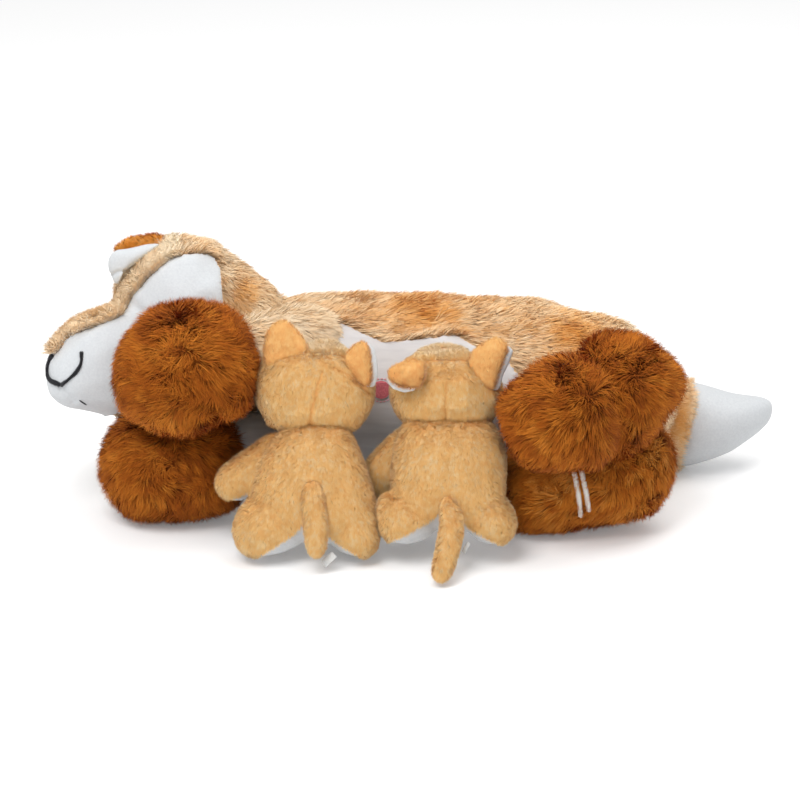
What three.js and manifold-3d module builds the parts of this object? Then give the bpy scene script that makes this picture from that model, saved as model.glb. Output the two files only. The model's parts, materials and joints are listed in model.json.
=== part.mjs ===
// A nursing plush fox that lies on its side, with two small plush kits held at its belly by magnets.
// Millimetres, +Z up. The belly faces -Y, the head is at -X and the tail at +X.
import * as THREE from 'three';
import { mergeVertices } from 'three/addons/utils/BufferGeometryUtils.js';
import Module from 'manifold-3d';

const wasm = await Module();
wasm.setup();

// Fabric and fits
const FIT = 0.3;
const SKIN = 1.8;
const SWEEP_ROOM = 0.35;
const FLOOR_FLAT = 0.5;
const CUTTER = 900;

// Torso: a long stuffed form, wider (front to back) than it is high
const TORSO_LENGTH = 302;
const TORSO_DEPTH = 138;
const TORSO_HEIGHT = 131;
const TORSO_BACK_SET = 70;
const BELLY_LENGTH = 214;
const BELLY_HEIGHT = 118;

// Nipples and the magnets behind them
const NIPPLE_RADIUS = 6;
const NIPPLE_THICK = 1.2;
const NIPPLE_PITCH = 42.5;
const NIPPLE_HEIGHT = 84;
const MAGNET_RADIUS = 5;
const MAGNET_THICK = 2.5;
const MAGNET_DEPTH = 6;

// Head
const CRANIUM_LENGTH = 116;
const CRANIUM_WIDTH = 116;
const CRANIUM_HEIGHT = 114;
const MUZZLE_LENGTH = 107;
const MUZZLE_WIDTH = 76;
const MUZZLE_HEIGHT = 88;
const MUZZLE_DROP = 9;
const BRIDGE_LENGTH = 56;
const BRIDGE_WIDTH = 40;
const BRIDGE_HEIGHT = 34;
const NECK_BALL = 30;
const HEAD_ROLL = THREE.MathUtils.degToRad(38);

// Ears of the large fox
const EAR_LENGTH = 44;
const EAR_WIDTH = 38;
const EAR_THICK = 10;

// Front legs
const FRONT_PAW_WIDTH = 91;
const FRONT_PAW_DEPTH = 78;
const UPPER_FRONT_PAW_HEIGHT = 88;
const LOWER_FRONT_PAW_HEIGHT = 73;
const ARM_RADIUS = 24;
const SHOULDER_BALL = 16.5;

// Hind legs
const UPPER_HIND_LENGTH = 121;
const UPPER_HIND_DEPTH = 88;
const UPPER_HIND_HEIGHT = 86;
const LOWER_HIND_LENGTH = 113;
const LOWER_HIND_DEPTH = 84;
const LOWER_HIND_HEIGHT = 61;
const THIGH_RADIUS = 30;
const LOWER_THIGH_RADIUS = 22;
const HIP_BALL = 20;
const YARN_RADIUS = 1.1;
const YARN_PITCH = 6;
const YARN_LENGTH = 38;

// Tail
const TAIL_LENGTH = 102;
const TAIL_WIDTH = 60;
const TAIL_BALL = 18;

// Kits
const KIT_HEAD_WIDTH = 75;
const KIT_HEAD_HEIGHT = 56;
const KIT_HEAD_DEPTH = 58;
const KIT_MUZZLE_WIDTH = 30;
const KIT_BODY_LENGTH = 79;
const KIT_BODY_WIDTH = 78;
const KIT_BODY_DEPTH = 42;
const KIT_LIMB_LENGTH = 40;
const KIT_LIMB_WIDTH = 25;
const KIT_NECK_BALL = 9;
const KIT_EAR_LENGTH = 33;
const KIT_EAR_WIDTH = 29;
const KIT_EAR_THICK = 6;
const KIT_TAIL_WIDTH = 17;
const KIT_TAIL_BALL = 5;
const KIT_SKIN = 1.3;
const KIT_LEAN = THREE.MathUtils.degToRad(33);
const KIT_MAGNET_RADIUS = 4;
const KIT_MAGNET_THICK = 2;
const TAB_WIDTH = 9;
const TAB_DROP = 11;
const TAB_THICK = 0.6;
const TAB_RISE = 6;
const TAB_REACH_SHARE = 0.12;
const TAB_SLOPE = THREE.MathUtils.degToRad(45);

// How far the joints turn, in degrees, from rest
const HEAD_LIFT = 12;
const UPPER_FRONT_LIFT = 14;
const LOWER_FRONT_SWING = [-5, 7];
const UPPER_HIND_LIFT = 16;
const LOWER_HIND_SWING = [-3, 12];
const TAIL_SWING = [-10, 14];
const LEFT_EAR_FLOP = [-8, 12];
const RIGHT_EAR_FLOP = [0, 18];
const KIT_NOD = 16;
const KIT_TAIL_LIFT = 50;

const vec = (x, y, z) => new THREE.Vector3(x, y, z);
const X = vec(1, 0, 0);
const Y = vec(0, 1, 0);
const Z = vec(0, 0, 1);

// A point of the torso's box: shares of its length from the middle, its depth from the front and its height
const onTorso = (x, y, z) => vec(x * TORSO_LENGTH, y * TORSO_DEPTH, z * TORSO_HEIGHT);

// Shares from 0 to 1, and from half before a middle to half past it
const evenly = (count) => Array.from({ length: count }, (_, i) => i / (count - 1));
const acrossMiddle = evenly(3).map((share) => share - 1 / 2);

// Solids
function solid(geometry) {
  const bare = geometry.clone();
  bare.deleteAttribute('normal');
  bare.deleteAttribute('uv');
  const merged = mergeVertices(bare);
  return new wasm.Manifold(new wasm.Mesh({
    numProp: 3,
    vertProperties: new Float32Array(merged.attributes.position.array),
    triVerts: new Uint32Array(merged.index.array),
  }));
}

function placed(body, matrix) {
  return body.transform(matrix.elements);
}

function turnedAbout(body, pivot, axis, degrees) {
  const matrix = new THREE.Matrix4().makeTranslation(pivot.x, pivot.y, pivot.z)
    .multiply(new THREE.Matrix4().makeRotationAxis(axis, THREE.MathUtils.degToRad(degrees)))
    .multiply(new THREE.Matrix4().makeTranslation(-pivot.x, -pivot.y, -pivot.z));
  return placed(body, matrix);
}

function cutBy(body, cutters) {
  return cutters.reduce((rest, cutter) => rest.subtract(cutter), body);
}

// A table of values read at a share of its length, by a smooth curve through them
function along(values, share) {
  const curve = new THREE.CatmullRomCurve3(values.map((value, i) => vec(i, value, 0)));
  return curve.getPoint(share).y;
}

// A stuffed form: a spine, half widths and half heights along it, and domed ends. Grow pads it all round,
// and what is hidden inside or only cuts has fewer facets.
const INSIDE_DETAIL_SHARE = 0.5;
const ROUGH_DETAIL_SHARE = 0.75;
function stuffed(shape, grow = 0, detailShare = grow < 0 ? INSIDE_DETAIL_SHARE : 1) {
  const { spine, wides, talls, up = Z, fullness = 2 } = shape;
  const rings = Math.max(4, Math.round((shape.rings ?? 7) * detailShare));
  const sides = Math.max(6, Math.round((shape.sides ?? 12) * detailShare));
  const first = spine[0].clone().sub(spine[1]).normalize().multiplyScalar(grow);
  const last = spine.at(-1).clone().sub(spine.at(-2)).normalize().multiplyScalar(grow);
  const points = spine.map((p) => p.clone());
  points[0].add(first);
  points.at(-1).add(last);
  const curve = new THREE.CatmullRomCurve3(points);
  const vertices = [];
  const faces = [];
  const ringPoint = (ring, side) => 1 + (ring - 1) * sides + (side % sides);
  vertices.push(...curve.getPoint(0).toArray());
  for (let ring = 1; ring < rings; ring++) {
    const share = (1 - Math.cos((Math.PI * ring) / rings)) / 2;
    const centre = curve.getPoint(share);
    const ahead = curve.getTangent(share);
    const across = ahead.clone().cross(up).normalize();
    const over = across.clone().cross(ahead).normalize();
    const dome = Math.sqrt(1 - Math.abs(2 * share - 1) ** fullness);
    const wide = (along(wides, share) + grow) * dome;
    const tall = (along(talls, share) + grow) * dome;
    for (let side = 0; side < sides; side++) {
      const angle = (2 * Math.PI * side) / sides;
      const point = centre.clone()
        .addScaledVector(across, wide * Math.cos(angle))
        .addScaledVector(over, tall * Math.sin(angle));
      vertices.push(...point.toArray());
    }
  }
  const end = vertices.length / 3;
  vertices.push(...curve.getPoint(1).toArray());
  for (let side = 0; side < sides; side++) {
    faces.push(0, ringPoint(1, side), ringPoint(1, side + 1));
    faces.push(end, ringPoint(rings - 1, side + 1), ringPoint(rings - 1, side));
    for (let ring = 1; ring < rings - 1; ring++) {
      const a = ringPoint(ring, side);
      const b = ringPoint(ring, side + 1);
      const c = ringPoint(ring + 1, side);
      const d = ringPoint(ring + 1, side + 1);
      faces.push(a, c, b, b, c, d);
    }
  }
  const geometry = new THREE.BufferGeometry();
  geometry.setAttribute('position', new THREE.Float32BufferAttribute(vertices, 3));
  geometry.setIndex(faces);
  return solid(geometry);
}

// The same form with few facets, padded so that the fine one lies inside it
function rough(shape, grow) {
  const sides = Math.round((shape.sides ?? 12) * ROUGH_DETAIL_SHARE);
  const pad = Math.max(...shape.wides, ...shape.talls) * (1 - Math.cos(Math.PI / sides));
  return stuffed(shape, grow + pad + SWEEP_ROOM, ROUGH_DETAIL_SHARE);
}

const BALL_SIDES = 12;
function ball(centre, radius, sides = BALL_SIDES) {
  return solid(new THREE.SphereGeometry(radius, sides, sides / 2).translate(centre.x, centre.y, centre.z));
}

// The room that a joint ball turns in: its flats stay clear of the ball's corners
function socket(centre, radius) {
  return ball(centre, (radius + FIT) / Math.cos(Math.PI / BALL_SIDES) ** 2);
}

// Everything on the far side of a plane through a point, its normal pointing into what is kept away
function beyond(point, normal) {
  const turn = new THREE.Quaternion().setFromUnitVectors(Z, normal.clone().normalize());
  const middle = point.clone().addScaledVector(normal.clone().normalize(), CUTTER / 2);
  const geometry = new THREE.BoxGeometry(CUTTER, CUTTER, CUTTER).applyQuaternion(turn);
  return solid(geometry.translate(middle.x, middle.y, middle.z));
}

// A rod from one point to another
function rod(from, to, radius, sides = 12) {
  const run = to.clone().sub(from);
  const turn = new THREE.Quaternion().setFromUnitVectors(Y, run.clone().normalize());
  const middle = from.clone().lerp(to, 1 / 2);
  const geometry = new THREE.CylinderGeometry(radius, radius, run.length(), sides).applyQuaternion(turn);
  return solid(geometry.translate(middle.x, middle.y, middle.z));
}

const belowFloor = beyond(vec(0, 0, 0), Z.clone().negate());

// Materials
const cloth = (color, roughness = 0.95) => new THREE.MeshStandardMaterial({ color, roughness, metalness: 0 });
const tan = () => cloth(0xd9ae7a);
const apricot = () => cloth(0xe6b070);
const brown = () => cloth(0x96501e);
const white = () => cloth(0xe6e8ea, 0.85);
const pink = () => cloth(0xa0505a, 0.8);
const stuffing = () => cloth(0xf2f2ee, 1);
const cord = () => cloth(0xf0efe8, 0.8);
const steel = () => new THREE.MeshStandardMaterial({ color: 0x9a9ca0, roughness: 0.35, metalness: 1 });

// A finished piece: the solid moved so that the mesh turns about its own origin
function piece(name, body, material, origin = vec(0, 0, 0)) {
  const mesh = body.getMesh();
  const geometry = new THREE.BufferGeometry();
  geometry.setAttribute('position', new THREE.BufferAttribute(new Float32Array(mesh.vertProperties), 3));
  geometry.setIndex(Array.from(mesh.triVerts));
  geometry.translate(-origin.x, -origin.y, -origin.z);
  geometry.computeVertexNormals();
  const made = new THREE.Mesh(geometry, material);
  made.name = name;
  made.position.copy(origin);
  return made;
}

// The torso's own form
const torsoWideShares = [0.86, 0.97, 1, 1, 1, 0.97, 0.92, 0.84];
const torsoTallShares = [0.94, 0.98, 0.98, 0.97, 0.96, 0.92, 0.84, 0.76];
const torsoRiseShares = [0.47, 0.49, 0.49, 0.485, 0.48, 0.46, 0.42, 0.385];
const TORSO_FRONT_SHARE = -0.4;
const TORSO_FULLNESS = 8;
function torsoShape() {
  const spine = torsoRiseShares.map((rise, i) => vec(
    (TORSO_FRONT_SHARE + i / (torsoRiseShares.length - 1)) * TORSO_LENGTH,
    TORSO_BACK_SET,
    rise * TORSO_HEIGHT - FLOOR_FLAT,
  ));
  return {
    spine,
    wides: torsoWideShares.map((share) => (share * TORSO_DEPTH) / 2),
    talls: torsoTallShares.map((share) => (share * TORSO_HEIGHT) / 2),
    fullness: TORSO_FULLNESS,
    rings: 8,
    sides: 16,
  };
}

const torsoForm = (grow) => stuffed(torsoShape(), grow, 1);
const torsoInside = (grow) => stuffed({ ...torsoShape(), rings: 4 }, grow, 1);

// Joint places, on or just under the torso's skin
const jointShares = {
  neck: [-0.36, 0.6, 0.63],
  upperShoulder: [-0.222, 0.27, 0.82],
  lowerShoulder: [-0.27, 0.175, 0.31],
  upperHip: [0.45, 0.28, 0.66],
  lowerHip: [0.41, 0.17, 0.28],
  tailRoot: [0.565, 0.54, 0.265],
};
const neckPlace = onTorso(...jointShares.neck);
const upperShoulder = onTorso(...jointShares.upperShoulder);
const lowerShoulder = onTorso(...jointShares.lowerShoulder);
const upperHip = onTorso(...jointShares.upperHip);
const lowerHip = onTorso(...jointShares.lowerHip);
const tailRoot = onTorso(...jointShares.tailRoot);

const torsoOpenings = [
  [neckPlace, NECK_BALL],
  [upperShoulder, SHOULDER_BALL],
  [lowerShoulder, SHOULDER_BALL],
  [upperHip, HIP_BALL],
  [lowerHip, HIP_BALL],
  [tailRoot, TAIL_BALL],
].map(([place, radius]) => socket(place, radius));

// The white belly patch: what lies inside an oval seen from the front
const BELLY_CENTRE_SHARE = -0.045;
const BELLY_REACH_SHARE = 0.33;
function bellyPatch(grow) {
  const middle = onTorso(BELLY_CENTRE_SHARE, 0, 0);
  const front = vec(middle.x, -TORSO_DEPTH, BELLY_HEIGHT / 2);
  const back = vec(middle.x, BELLY_REACH_SHARE * TORSO_DEPTH + grow, BELLY_HEIGHT / 2);
  const oval = new THREE.Shape();
  oval.absellipse(0, 0, BELLY_LENGTH / 2 + grow, BELLY_HEIGHT / 2 + grow, 0, 2 * Math.PI);
  const depth = back.y - front.y;
  const geometry = new THREE.ExtrudeGeometry(oval, { depth, bevelEnabled: false, curveSegments: 9 });
  geometry.rotateX(Math.PI / 2);
  return solid(geometry.translate(back.x, back.y, back.z));
}

const torsoOuter = torsoForm(0);
const torsoClear = (grow) => torsoForm(FIT + SWEEP_ROOM - grow);

// Where the belly's surface is at a height, and the way it faces there
function bellySurface(x, z) {
  const share = Math.min(1, Math.max(0, x / TORSO_LENGTH - TORSO_FRONT_SHARE));
  const dome = Math.sqrt(1 - Math.abs(2 * share - 1) ** TORSO_FULLNESS);
  const wide = (along(torsoWideShares, share) * TORSO_DEPTH * dome) / 2;
  const tall = (along(torsoTallShares, share) * TORSO_HEIGHT * dome) / 2;
  const centre = along(torsoRiseShares, share) * TORSO_HEIGHT - FLOOR_FLAT;
  const rise = (z - centre) / tall;
  const y = TORSO_BACK_SET - wide * Math.sqrt(Math.max(0, 1 - rise * rise));
  const normal = vec(0, (y - TORSO_BACK_SET) / (wide * wide), (z - centre) / (tall * tall)).normalize();
  return { point: vec(x, y, z), normal };
}

const NIPPLE_ROW_SHARE = -0.06;
const nipplePlaces = [-1, 0, 1].map((step) => bellySurface(
  NIPPLE_ROW_SHARE * TORSO_LENGTH + step * NIPPLE_PITCH,
  NIPPLE_HEIGHT,
));

// A magnet lies in a pocket of the stuffing, just behind the cloth
function magnetRod(place, frontGrow, grow) {
  return rod(
    place.point.clone().addScaledVector(place.normal, frontGrow - MAGNET_DEPTH),
    place.point.clone().addScaledVector(place.normal, -MAGNET_DEPTH - MAGNET_THICK - grow),
    MAGNET_RADIUS + grow,
  );
}

function torso() {
  const shell = cutBy(torsoOuter.subtract(torsoInside(-SKIN)), [...torsoOpenings, belowFloor]);
  const patch = bellyPatch(0);
  const filling = cutBy(torsoInside(-SKIN - FIT), [
    ...torsoOpenings,
    beyond(vec(0, 0, SKIN + FIT - FLOOR_FLAT), Z.clone().negate()),
    ...nipplePlaces.map((place) => magnetRod(place, MAGNET_DEPTH, FIT)),
  ]);
  const pieces = [
    piece('torso_back_skin', shell.subtract(bellyPatch(FIT)), tan()),
    piece('belly_panel', shell.intersect(patch), white()),
    piece('torso_filling', filling, stuffing()),
  ];
  const felt = torsoForm(FIT + NIPPLE_THICK).subtract(torsoForm(FIT));
  nipplePlaces.forEach((place, i) => {
    const inside = place.point.clone().addScaledVector(place.normal, -MAGNET_DEPTH);
    const outside = place.point.clone().addScaledVector(place.normal, MAGNET_DEPTH);
    pieces.push(piece(`nipple_${i + 1}`, rod(inside, outside, NIPPLE_RADIUS).intersect(felt), pink()));
    pieces.push(piece(`nipple_magnet_${i + 1}`, magnetRod(place, 0, 0), steel()));
  });
  return pieces;
}

// The head: its own forward, upward and sideways directions
const ahead = vec(-0.8, -0.55, -0.2).normalize();
const rightUp = Z.clone().addScaledVector(ahead, -Z.dot(ahead)).normalize();
const crownUp = rightUp.clone().applyAxisAngle(ahead, HEAD_ROLL);
const cheekSide = crownUp.clone().cross(ahead).normalize();
const headCentreShares = [-0.487, 0.42, 0.893];
const headCentre = onTorso(...headCentreShares);
const onHead = (forward, side, over) => headCentre.clone()
  .addScaledVector(ahead, forward)
  .addScaledVector(cheekSide, side)
  .addScaledVector(crownUp, over);

const muzzleWideShares = [0.9, 1, 0.86, 0.62];
const MUZZLE_FULLNESS = 2.6;
const BRIDGE_START_SHARE = 0.42;
const BRIDGE_RISE_SHARE = 0.22;
const BRIDGE_DROP_SHARE = 0.3;
function headForm(grow) {
  const cranium = stuffed({
    spine: acrossMiddle.map((share) => onHead(share * CRANIUM_LENGTH, 0, 0)),
    wides: [CRANIUM_WIDTH / 2, CRANIUM_WIDTH / 2],
    talls: [CRANIUM_HEIGHT / 2, CRANIUM_HEIGHT / 2],
    up: crownUp,
    rings: 8,
  }, grow);
  const muzzle = stuffed({
    spine: evenly(4).map((share) => onHead(share * MUZZLE_LENGTH, 0, -share * MUZZLE_DROP)),
    wides: muzzleWideShares.map((share) => (share * MUZZLE_WIDTH) / 2),
    talls: muzzleWideShares.map((share) => (share * MUZZLE_HEIGHT) / 2),
    up: crownUp,
    fullness: MUZZLE_FULLNESS,
    rings: 6,
  }, grow);
  const bridgeStart = MUZZLE_LENGTH * BRIDGE_START_SHARE;
  const bridgeRise = MUZZLE_HEIGHT * BRIDGE_RISE_SHARE;
  const bridge = stuffed({
    spine: evenly(3).map((share) => onHead(
      bridgeStart + share * BRIDGE_LENGTH,
      0,
      bridgeRise * (1 - share * BRIDGE_DROP_SHARE),
    )),
    wides: [BRIDGE_WIDTH / 2, BRIDGE_WIDTH / 2],
    talls: [BRIDGE_HEIGHT / 2, BRIDGE_HEIGHT / 2],
    up: crownUp,
    rings: 6,
    sides: 10,
  }, grow);
  return cranium.add(muzzle).add(bridge);
}

// The upper front paw rests on the cheek. Both are pressed flat along one plane, square to the paw's lift.
const upperPawShares = [-0.47, -0.26, 0];
const UPPER_PAW_RISE_SHARE = 0.472;
const upperPawCentre = onTorso(...upperPawShares)
  .addScaledVector(Z, LOWER_FRONT_PAW_HEIGHT + UPPER_FRONT_PAW_HEIGHT * UPPER_PAW_RISE_SHARE);
const upperFrontAxis = vec(-0.462, 0.887, 0).normalize();
const PAW_SEAT_SHARE = 0.78;
const pawSeat = (FRONT_PAW_DEPTH / 2) * PAW_SEAT_SHARE;
const behindPaw = (reach) => upperPawCentre.clone().addScaledVector(upperFrontAxis, reach);
const cheekSideOfSeat = (grow) => beyond(behindPaw(pawSeat + grow), upperFrontAxis);
const pawSideOfSeat = (grow) => beyond(
  behindPaw(pawSeat + FIT + SWEEP_ROOM - grow),
  upperFrontAxis.clone().negate(),
);

const headTurns = [0, HEAD_LIFT];
function headSolid(grow) {
  const ways = headTurns.flatMap((turn) => [torsoClear(grow), pawSideOfSeat(grow)]
    .map((obstacle) => turnedAbout(obstacle, neckPlace, Y, -turn)));
  return cutBy(headForm(grow), ways).add(ball(neckPlace, NECK_BALL + grow));
}

// The white of the face: two cheek patches and the muzzle under the bridge
const CHEEK_LENGTH = 96;
const CHEEK_HEIGHT = 52;
const CHEEK_REACH = 60;
const cheekSpineShares = [[-0.3, 1, 0.42], [0.25, 1, 0.12], [0.85, 0.8, 0]];
const cheekWideShares = [0.8, 0.9];
const frontSpineShares = [0.3, 0.65, 1.3];
const FRONT_DROP_SHARE = 0.22;
const FRONT_WIDE_SHARE = 0.8;
function facePatch(grow) {
  const cheek = (side) => stuffed({
    spine: cheekSpineShares.map(([forward, reach, over]) => onHead(
      forward * CHEEK_LENGTH,
      side * reach * CHEEK_REACH,
      over * CHEEK_HEIGHT,
    )),
    wides: cheekWideShares.map((share) => share * CHEEK_REACH),
    talls: [CHEEK_HEIGHT / 2, CHEEK_HEIGHT / 2],
    up: crownUp,
    rings: 5,
    sides: 8,
  }, grow);
  const front = stuffed({
    spine: frontSpineShares.map((share) => onHead(
      share * MUZZLE_LENGTH,
      0,
      -MUZZLE_HEIGHT * FRONT_DROP_SHARE,
    )),
    wides: [MUZZLE_WIDTH * FRONT_WIDE_SHARE, MUZZLE_WIDTH * FRONT_WIDE_SHARE],
    talls: [MUZZLE_HEIGHT / 2, MUZZLE_HEIGHT / 2],
    up: crownUp,
    rings: 5,
    sides: 8,
  }, grow);
  return cheek(1).add(cheek(-1)).add(front);
}

function head() {
  const mouth = rod(neckPlace, neckPlace.clone().addScaledVector(X, NECK_BALL * 2), NECK_BALL / 2, 10);
  const shell = headSolid(0).subtract(headSolid(-SKIN)).subtract(mouth);
  return [
    piece('head_skin', shell.subtract(facePatch(FIT)), tan(), neckPlace),
    piece('face_panel', shell.intersect(facePatch(0)), white(), neckPlace),
    piece('head_filling', headSolid(-SKIN - FIT), stuffing(), neckPlace),
  ];
}

// An ear: a cupped back panel with a lining in front of it, its root trimmed to the head it is sewn to
const earWideShares = [0.52, 0.5, 0.3];
const EAR_FULLNESS = 3;
const EAR_CUP_SHARE = 1.1;
function ear({ name, root, way, face, length, width, thick, obstacles, backColour, liningColour }) {
  const end = root.clone().addScaledVector(way, length);
  const start = root.clone().addScaledVector(way, -thick);
  const middle = root.clone().lerp(end, 1 / 2);
  const whole = stuffed({
    spine: [start, middle, end],
    wides: earWideShares.map((share) => share * width),
    talls: [thick / 2, thick / 2, thick / 2],
    up: face,
    fullness: EAR_FULLNESS,
    rings: 5,
    sides: 8,
  });
  const trimmed = cutBy(whole, obstacles);
  const cup = width * EAR_CUP_SHARE;
  const hollow = (grow) => ball(middle.clone().addScaledVector(face, cup), cup + grow);
  return [
    piece(`${name}_back`, trimmed.subtract(hollow(FIT)), backColour, root),
    piece(`${name}_lining`, trimmed.intersect(hollow(0)), liningColour, root),
  ];
}

const onCranium = (x, y, z) => headCentre.clone()
  .add(vec(x * CRANIUM_LENGTH, y * CRANIUM_WIDTH, z * CRANIUM_HEIGHT));
const foxEars = [
  {
    label: 'left',
    rootShares: [-0.08, -0.03, 0.37],
    way: vec(-0.94, -0.2, -0.2).normalize(),
    face: vec(-0.2, -0.95, 0.15).normalize(),
    flop: LEFT_EAR_FLOP,
  },
  {
    label: 'right',
    rootShares: [-0.25, 0.4, 0.12],
    way: vec(-0.3, 0.47, -0.8).normalize(),
    face: vec(0.44, -0.7, -0.56).normalize(),
    flop: RIGHT_EAR_FLOP,
  },
];

function ears() {
  return foxEars.flatMap(({ label, rootShares, way, face, flop }) => {
    const root = onCranium(...rootShares);
    const flopAxis = face.clone().cross(way).normalize();
    return ear({
      name: `ear_${label}`,
      root,
      way,
      face,
      length: EAR_LENGTH,
      width: EAR_WIDTH,
      thick: EAR_THICK,
      obstacles: flop.map((turn) => turnedAbout(headForm(FIT + SWEEP_ROOM), root, flopAxis, -turn)),
      backColour: brown(),
      liningColour: white(),
    });
  });
}

// A leg: a joint ball, an arm and a paw, trimmed clear of what it moves past and flat where it rests
const ARM_FULLNESS = 5;
function armShape(root, end, radius) {
  return {
    spine: [root, root.clone().lerp(end, 1 / 2), end],
    wides: [radius, radius],
    talls: [radius, radius],
    fullness: ARM_FULLNESS,
    rings: 4,
    sides: 10,
  };
}

function pawShape(centre, runShares, [length, depth, height], fullness) {
  return {
    spine: acrossMiddle.map((share) => centre.clone().addScaledVector(runShares, share * length)),
    wides: [depth / 2, depth / 2],
    talls: [height / 2, height / 2],
    fullness,
  };
}

function legSolid({ root, ballRadius, arm, paw, obstacles, flat }, grow) {
  const whole = stuffed(arm, grow).add(stuffed(paw, grow));
  return cutBy(whole, obstacles(grow)).add(ball(root, ballRadius + grow)).subtract(flat(grow));
}

function belowFloorFor(grow) {
  return beyond(vec(0, 0, -grow), Z.clone().negate());
}

// The lower front leg lies on the floor
const lowerPawShares = [-0.523, -0.06, 0];
const lowerPawRunShares = vec(0.94, -0.1, 0);
const LOWER_PAW_FULLNESS = 2.3;
const lowerPawCentre = onTorso(...lowerPawShares).addScaledVector(Z, LOWER_FRONT_PAW_HEIGHT / 2 - FLOOR_FLAT);
const lowerFront = {
  root: lowerShoulder,
  ballRadius: SHOULDER_BALL,
  arm: armShape(lowerShoulder, lowerPawCentre, ARM_RADIUS),
  paw: pawShape(
    lowerPawCentre,
    lowerPawRunShares,
    [FRONT_PAW_WIDTH, FRONT_PAW_DEPTH, LOWER_FRONT_PAW_HEIGHT],
    LOWER_PAW_FULLNESS,
  ),
  obstacles: (grow) => LOWER_FRONT_SWING.map(
    (turn) => turnedAbout(torsoClear(grow), lowerShoulder, Z, -turn),
  ),
  flat: belowFloorFor,
};

// The upper front leg lies over it, in front of the cheek
const UPPER_PAW_FULLNESS = 2.2;
const upperFront = {
  root: upperShoulder,
  ballRadius: SHOULDER_BALL,
  arm: armShape(upperShoulder, upperPawCentre, ARM_RADIUS),
  paw: pawShape(
    upperPawCentre,
    X,
    [FRONT_PAW_WIDTH, FRONT_PAW_DEPTH, UPPER_FRONT_PAW_HEIGHT],
    UPPER_PAW_FULLNESS,
  ),
  obstacles: (grow) => {
    const lifts = [0, UPPER_FRONT_LIFT / 2, UPPER_FRONT_LIFT];
    const torsoNear = torsoClear(grow);
    const torsoWays = lifts.map((lift) => turnedAbout(torsoNear, upperShoulder, upperFrontAxis, -lift));
    const lowerPaw = rough(lowerFront.paw, FIT - grow);
    const pawWays = LOWER_FRONT_SWING.map((swing) => turnedAbout(lowerPaw, lowerShoulder, Z, swing));
    return [...torsoWays, ...pawWays];
  },
  flat: cheekSideOfSeat,
};

// The lower hind leg lies on the floor, and the upper one on top of it, both pressed flat where they meet
const HIND_SEAT_SHARE = 0.94;
const hindSeat = LOWER_HIND_HEIGHT * HIND_SEAT_SHARE - FLOOR_FLAT;
const aboveHindSeat = (grow) => beyond(vec(0, 0, hindSeat + grow), Z);
const belowHindSeat = (grow) => beyond(vec(0, 0, hindSeat + FIT - grow), Z.clone().negate());
const lowerHindShares = [0.394, -0.19, 0];
const lowerHindRunShares = vec(1, 0.08, 0);
const LOWER_HIND_FULLNESS = 2.8;
const lowerHindCentre = onTorso(...lowerHindShares).addScaledVector(Z, LOWER_HIND_HEIGHT / 2 - FLOOR_FLAT);
const lowerHind = {
  root: lowerHip,
  ballRadius: HIP_BALL,
  arm: armShape(lowerHip, lowerHindCentre, LOWER_THIGH_RADIUS),
  paw: pawShape(
    lowerHindCentre,
    lowerHindRunShares,
    [LOWER_HIND_LENGTH, LOWER_HIND_DEPTH, LOWER_HIND_HEIGHT],
    LOWER_HIND_FULLNESS,
  ),
  obstacles: (grow) => LOWER_HIND_SWING.map((turn) => turnedAbout(torsoClear(grow), lowerHip, Z, -turn)),
  flat: (grow) => belowFloorFor(grow).add(aboveHindSeat(grow)),
};

const upperHindShares = [0.397, -0.345, 0];
const UPPER_HIND_RISE_SHARE = 0.42;
const upperHindRunShares = vec(0.96, 0.16, 0.26);
const UPPER_HIND_FULLNESS = 2.3;
const upperHindCentre = onTorso(...upperHindShares)
  .addScaledVector(Z, LOWER_HIND_HEIGHT + UPPER_HIND_HEIGHT * UPPER_HIND_RISE_SHARE);
const upperHindAxis = X.clone().negate();
const upperHind = {
  root: upperHip,
  ballRadius: HIP_BALL,
  arm: armShape(upperHip, upperHindCentre, THIGH_RADIUS),
  paw: pawShape(
    upperHindCentre,
    upperHindRunShares,
    [UPPER_HIND_LENGTH, UPPER_HIND_DEPTH, UPPER_HIND_HEIGHT],
    UPPER_HIND_FULLNESS,
  ),
  obstacles: (grow) => [0, UPPER_HIND_LIFT].flatMap((lift) => [torsoClear(grow), belowHindSeat(grow)]
    .map((obstacle) => turnedAbout(obstacle, upperHip, upperHindAxis, -lift))),
  flat: belowFloorFor,
};

// A leg's pieces. A sleeve of the body's own colour comes first where the paw is another colour.
function leg(name, design, inward, seam) {
  const { root, ballRadius } = design;
  const mouth = rod(root, root.clone().addScaledVector(inward, ballRadius * 2), ballRadius / 2);
  const shell = legSolid(design, 0).subtract(legSolid(design, -SKIN)).subtract(mouth);
  const filling = piece(`${name}_filling`, legSolid(design, -SKIN - FIT), stuffing(), root);
  if (!seam) {
    return [piece(`${name}_skin`, shell, brown(), root), filling];
  }
  const { point, normal } = seam;
  const past = point.clone().addScaledVector(normal, FIT);
  return [
    piece(`${name}_sleeve`, shell.subtract(beyond(point, normal)), tan(), root),
    piece(`${name}_paw_skin`, shell.intersect(beyond(past, normal)), brown(), root),
    filling,
  ];
}

function armSeam(design, pawCentre, share) {
  const normal = pawCentre.clone().sub(design.root).normalize();
  return { point: design.root.clone().lerp(pawCentre, share), normal };
}

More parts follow.
